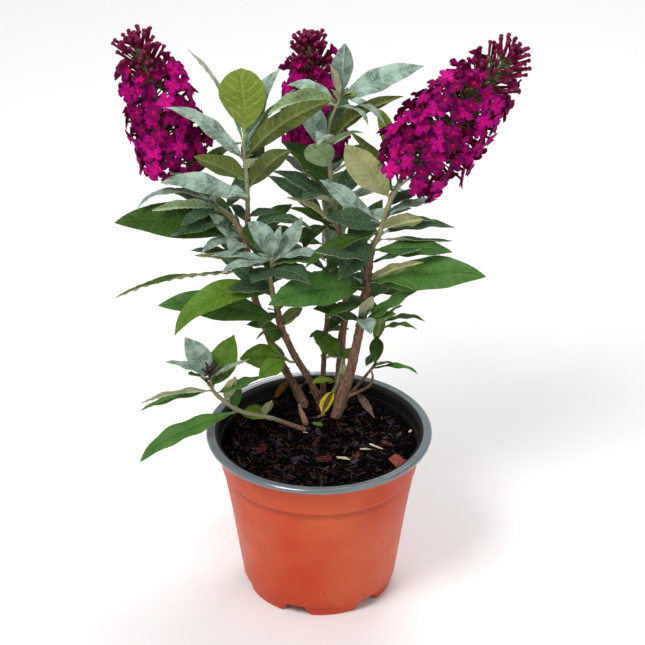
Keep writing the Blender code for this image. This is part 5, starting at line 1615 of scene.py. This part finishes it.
# Sizes are how many, the shortest, the longest and how far they tilt. The mix is how often each finish comes
chipForm = {
    "seed": 17, "patterns": 10,
    "sizes": ((420, 8.0, 18.0, 0.42), (1500, 3.0, 7.0, 0.5), (1500, 1.0, 2.4, 0.6)),
    "mix": {"chipBlack": 10, "chipBrown": 6, "chipViolet": 4, "chipRust": 1, "chipTan": 1},
    "breadth": (0.2, 0.5), "thickness": (0.5, 1.3), "rollShare": 0.7, "tanSize": 0.4, "lift": (-0.6, 0.9),
    "landmarkLift": 1.8, "landmarkRoll": 0.08,
    "stub": ((-9, 23, 118, 2.3), (-11, 24, 125, 2.0), (-14, 27, 132, 1.5), (-15.5, 29, 137, 0.7)),
}
fibreForm = {
    "count": 230, "length": (5.0, 14.0), "steps": 4, "bend": 0.5, "lift": (0.7, 1.8), "radius": (0.16, 0.3),
    "finishes": ("chipTan", "chipBrown", "chipRust", "chipBrown"), "room": 6.0, "leastRoom": 2.0,
}
# The chips that stand out: place, size, turn, tilt and finish
chipLandmarks = (
    (58.0, -28.7, (19.0, 17.0, 2.2), 1.2, 0.5, "chipBrick"),
    (-42.7, -16.3, (14.0, 12.0, 2.0), 0.7, 0.25, "chipCrimson"),
    (35.1, -15.1, (15.0, 4.6, 1.4), 0.1, 0.1, "chipCream"),
    (42.9, -12.3, (14.0, 4.2, 1.4), -0.5, 0.1, "chipCream"),
    (17.8, -28.9, (13.0, 5.0, 1.4), -0.2, 0.1, "chipCream"),
    (-1.6, 20.0, (12.0, 7.0, 1.2), -0.4, 0.3, "chipGreen"),
    (0.4, 31.8, (12.0, 5.0, 1.0), 0.4, 0.1, "chipTan"),
    (-15.7, -28.7, (17.0, 8.0, 1.4), 0.9, 0.3, "chipViolet"),
    (2.2, -28.7, (16.0, 9.0, 1.6), 0.3, 0.3, "chipRust"),
    (52.5, -5.1, (14.0, 10.0, 1.4), -0.3, 0.2, "chipRust"),
    (69.0, 15.9, (5.0, 2.6, 0.9), 1.2, 0.1, "chipCream"),
    (-10.0, 8.5, (4.6, 3.4, 1.8), 0.2, 0.1, "chipCream"),
    (-5.0, -18.0, (14.0, 6.0, 1.4), -0.6, 0.35, "chipViolet"),
    (25.0, -33.0, (12.0, 6.0, 1.4), 0.5, 0.3, "chipViolet"),
)


def addChip(bundle, x, y, size, turns, finish, chance, lift):
    # A flake of the given length, width and thickness, laid on the surface
    pattern = chipPattern(chance.randrange(chipForm["patterns"]))
    turn = Matrix.Identity(3)
    for angle, axis in zip(turns, "ZXY"):
        turn = turn @ Matrix.Rotation(angle, 3, axis)
    points = pattern["points"] * (np.array(size) / 2.0) @ np.array(turn).T
    place = np.array((x, y, compostHeight(x, y) + size[2] * 0.3 + lift))
    addShape(bundle, pattern, points + place, finish, tone=chance.random())


def spotWithin(radius, chance):
    # A seeded spot on the compost, spread evenly over it
    radius = radius * math.sqrt(chance.random())
    turn = chance.uniform(0.0, 2.0 * math.pi)
    return radius * math.cos(turn), radius * math.sin(turn)


def growFibre(bundle, chance):
    # A bent fibre, left out where it would run over the compost's edge
    f, edge = fibreForm, compostForm["edge"]
    x, y = spotWithin(edge - f["room"], chance)
    heading, length = chance.uniform(0.0, anyTurn), chance.uniform(*f["length"])
    rows = []
    for step in range(f["steps"]):
        heading += chance.uniform(-f["bend"], f["bend"])
        rows.append((x, y, compostHeight(x, y) + chance.uniform(*f["lift"]), chance.uniform(*f["radius"])))
        x += math.cos(heading) * length / f["steps"]
        y += math.sin(heading) * length / f["steps"]
        if math.hypot(x, y) > edge - f["leastRoom"]:
            break
    if len(rows) == f["steps"]:
        growCord(bundle, rows, chance.choice(f["finishes"]), chance.random(), 8, 5)


def makeChips():
    f = chipForm
    chance = random.Random(f["seed"])
    chips, fibres = newBundle(), newBundle()
    mix = [finish for finish, often in f["mix"].items() for _ in range(often)]
    for count, shortest, longest, tilt in f["sizes"]:
        for _ in range(count):
            x, y = spotWithin(compostForm["edge"] - longest * 0.3 - 1.0, chance)
            length = chance.uniform(shortest, longest)
            size = (length, length * chance.uniform(*f["breadth"]), chance.uniform(*f["thickness"]))
            turn = chance.uniform(0.0, anyTurn)
            turns = (turn, chance.gauss(0.0, tilt), chance.gauss(0.0, tilt * f["rollShare"]))
            finish = chance.choice(mix)
            if finish == "chipTan":
                size = tuple(value * f["tanSize"] for value in size)
            addChip(chips, x, y, size, turns, finish, chance, chance.uniform(*f["lift"]))
    for x, y, size, turn, tilt, finish in chipLandmarks:
        addChip(chips, x, y, size, (turn, tilt, f["landmarkRoll"]), finish, chance, f["landmarkLift"])
    for _ in range(fibreForm["count"]):
        growFibre(fibres, chance)
    growTwig(chips, f["stub"], 1.0, (0.35, 0.6), "dead")
    pieceFrom(chips, "compost_chips", ("compost",), sharp=25.0)
    pieceFrom(fibres, "compost_fibres", ("compost",), sharp=60.0)


makeCompost()
makeChips()
print("compost made")


# Floor, lights and camera

# In metres and watts. Each light has a place, a size and a power, and points at the aim
studio = {
    "floorSize": 6.0, "floorShade": 0.9, "skyStrength": 0.42, "aim": (0.0, 0.0, 0.2),
    "lights": {
        "key": ((-0.75, -0.95, 1.75), 0.7, 26.0), "fill": ((1.5, -1.3, 1.1), 1.4, 7.5),
        "top": ((0.35, 0.9, 1.9), 0.9, 20.0),
    },
}


def makeStudio():
    bpy.ops.mesh.primitive_grid_add(x_subdivisions=2, y_subdivisions=2, size=studio["floorSize"])
    floor = bpy.context.object
    floor.name = "studio_floor"
    _, shader = newMaterial("floor", 0.8)
    shade = studio["floorShade"]
    shader["Base Color"].default_value = (shade, shade, shade, 1.0)
    floor.data.materials.append(materials["floor"])
    floor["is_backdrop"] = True
    world = bpy.data.worlds.new("studio")
    world.use_nodes = True
    sky = world.node_tree.nodes["Background"].inputs
    sky["Color"].default_value = (1.0, 1.0, 1.0, 1.0)
    sky["Strength"].default_value = studio["skyStrength"]
    bpy.context.scene.world = world
    for name, (place, size, power) in studio["lights"].items():
        lamp = bpy.data.lights.new(name, "AREA")
        lamp.size = size
        lamp.energy = power
        holder = bpy.data.objects.new(name, lamp)
        holder.location = place
        holder.rotation_euler = (Vector(studio["aim"]) - Vector(place)).to_track_quat("-Z", "Y").to_euler()
        bpy.context.scene.collection.objects.link(holder)
    bpy.context.scene.view_settings.view_transform = "Standard"


cameraForm = {"lens": 151.88, "pitch": 29.92, "distance": 2000.0, "target": (2.53, 0.0, 224.8)}


def makeCamera():
    pitch = math.radians(cameraForm["pitch"])
    target = Vector(cameraForm["target"]) * mm + potAxis
    back = Vector((0.0, -math.cos(pitch), math.sin(pitch)))
    lens = bpy.data.cameras.new("camera")
    lens.lens = cameraForm["lens"]
    camera = bpy.data.objects.new("camera", lens)
    camera.location = target + back * cameraForm["distance"] * mm
    camera.rotation_euler = (-back).to_track_quat("-Z", "Y").to_euler()
    bpy.context.scene.collection.objects.link(camera)
    bpy.context.scene.camera = camera


makeStudio()
makeCamera()
print("studio made")

boxes = {"cad": cadBox, "visual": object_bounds()}
{name: [list(corner) for corner in box] for name, box in boxes.items()}
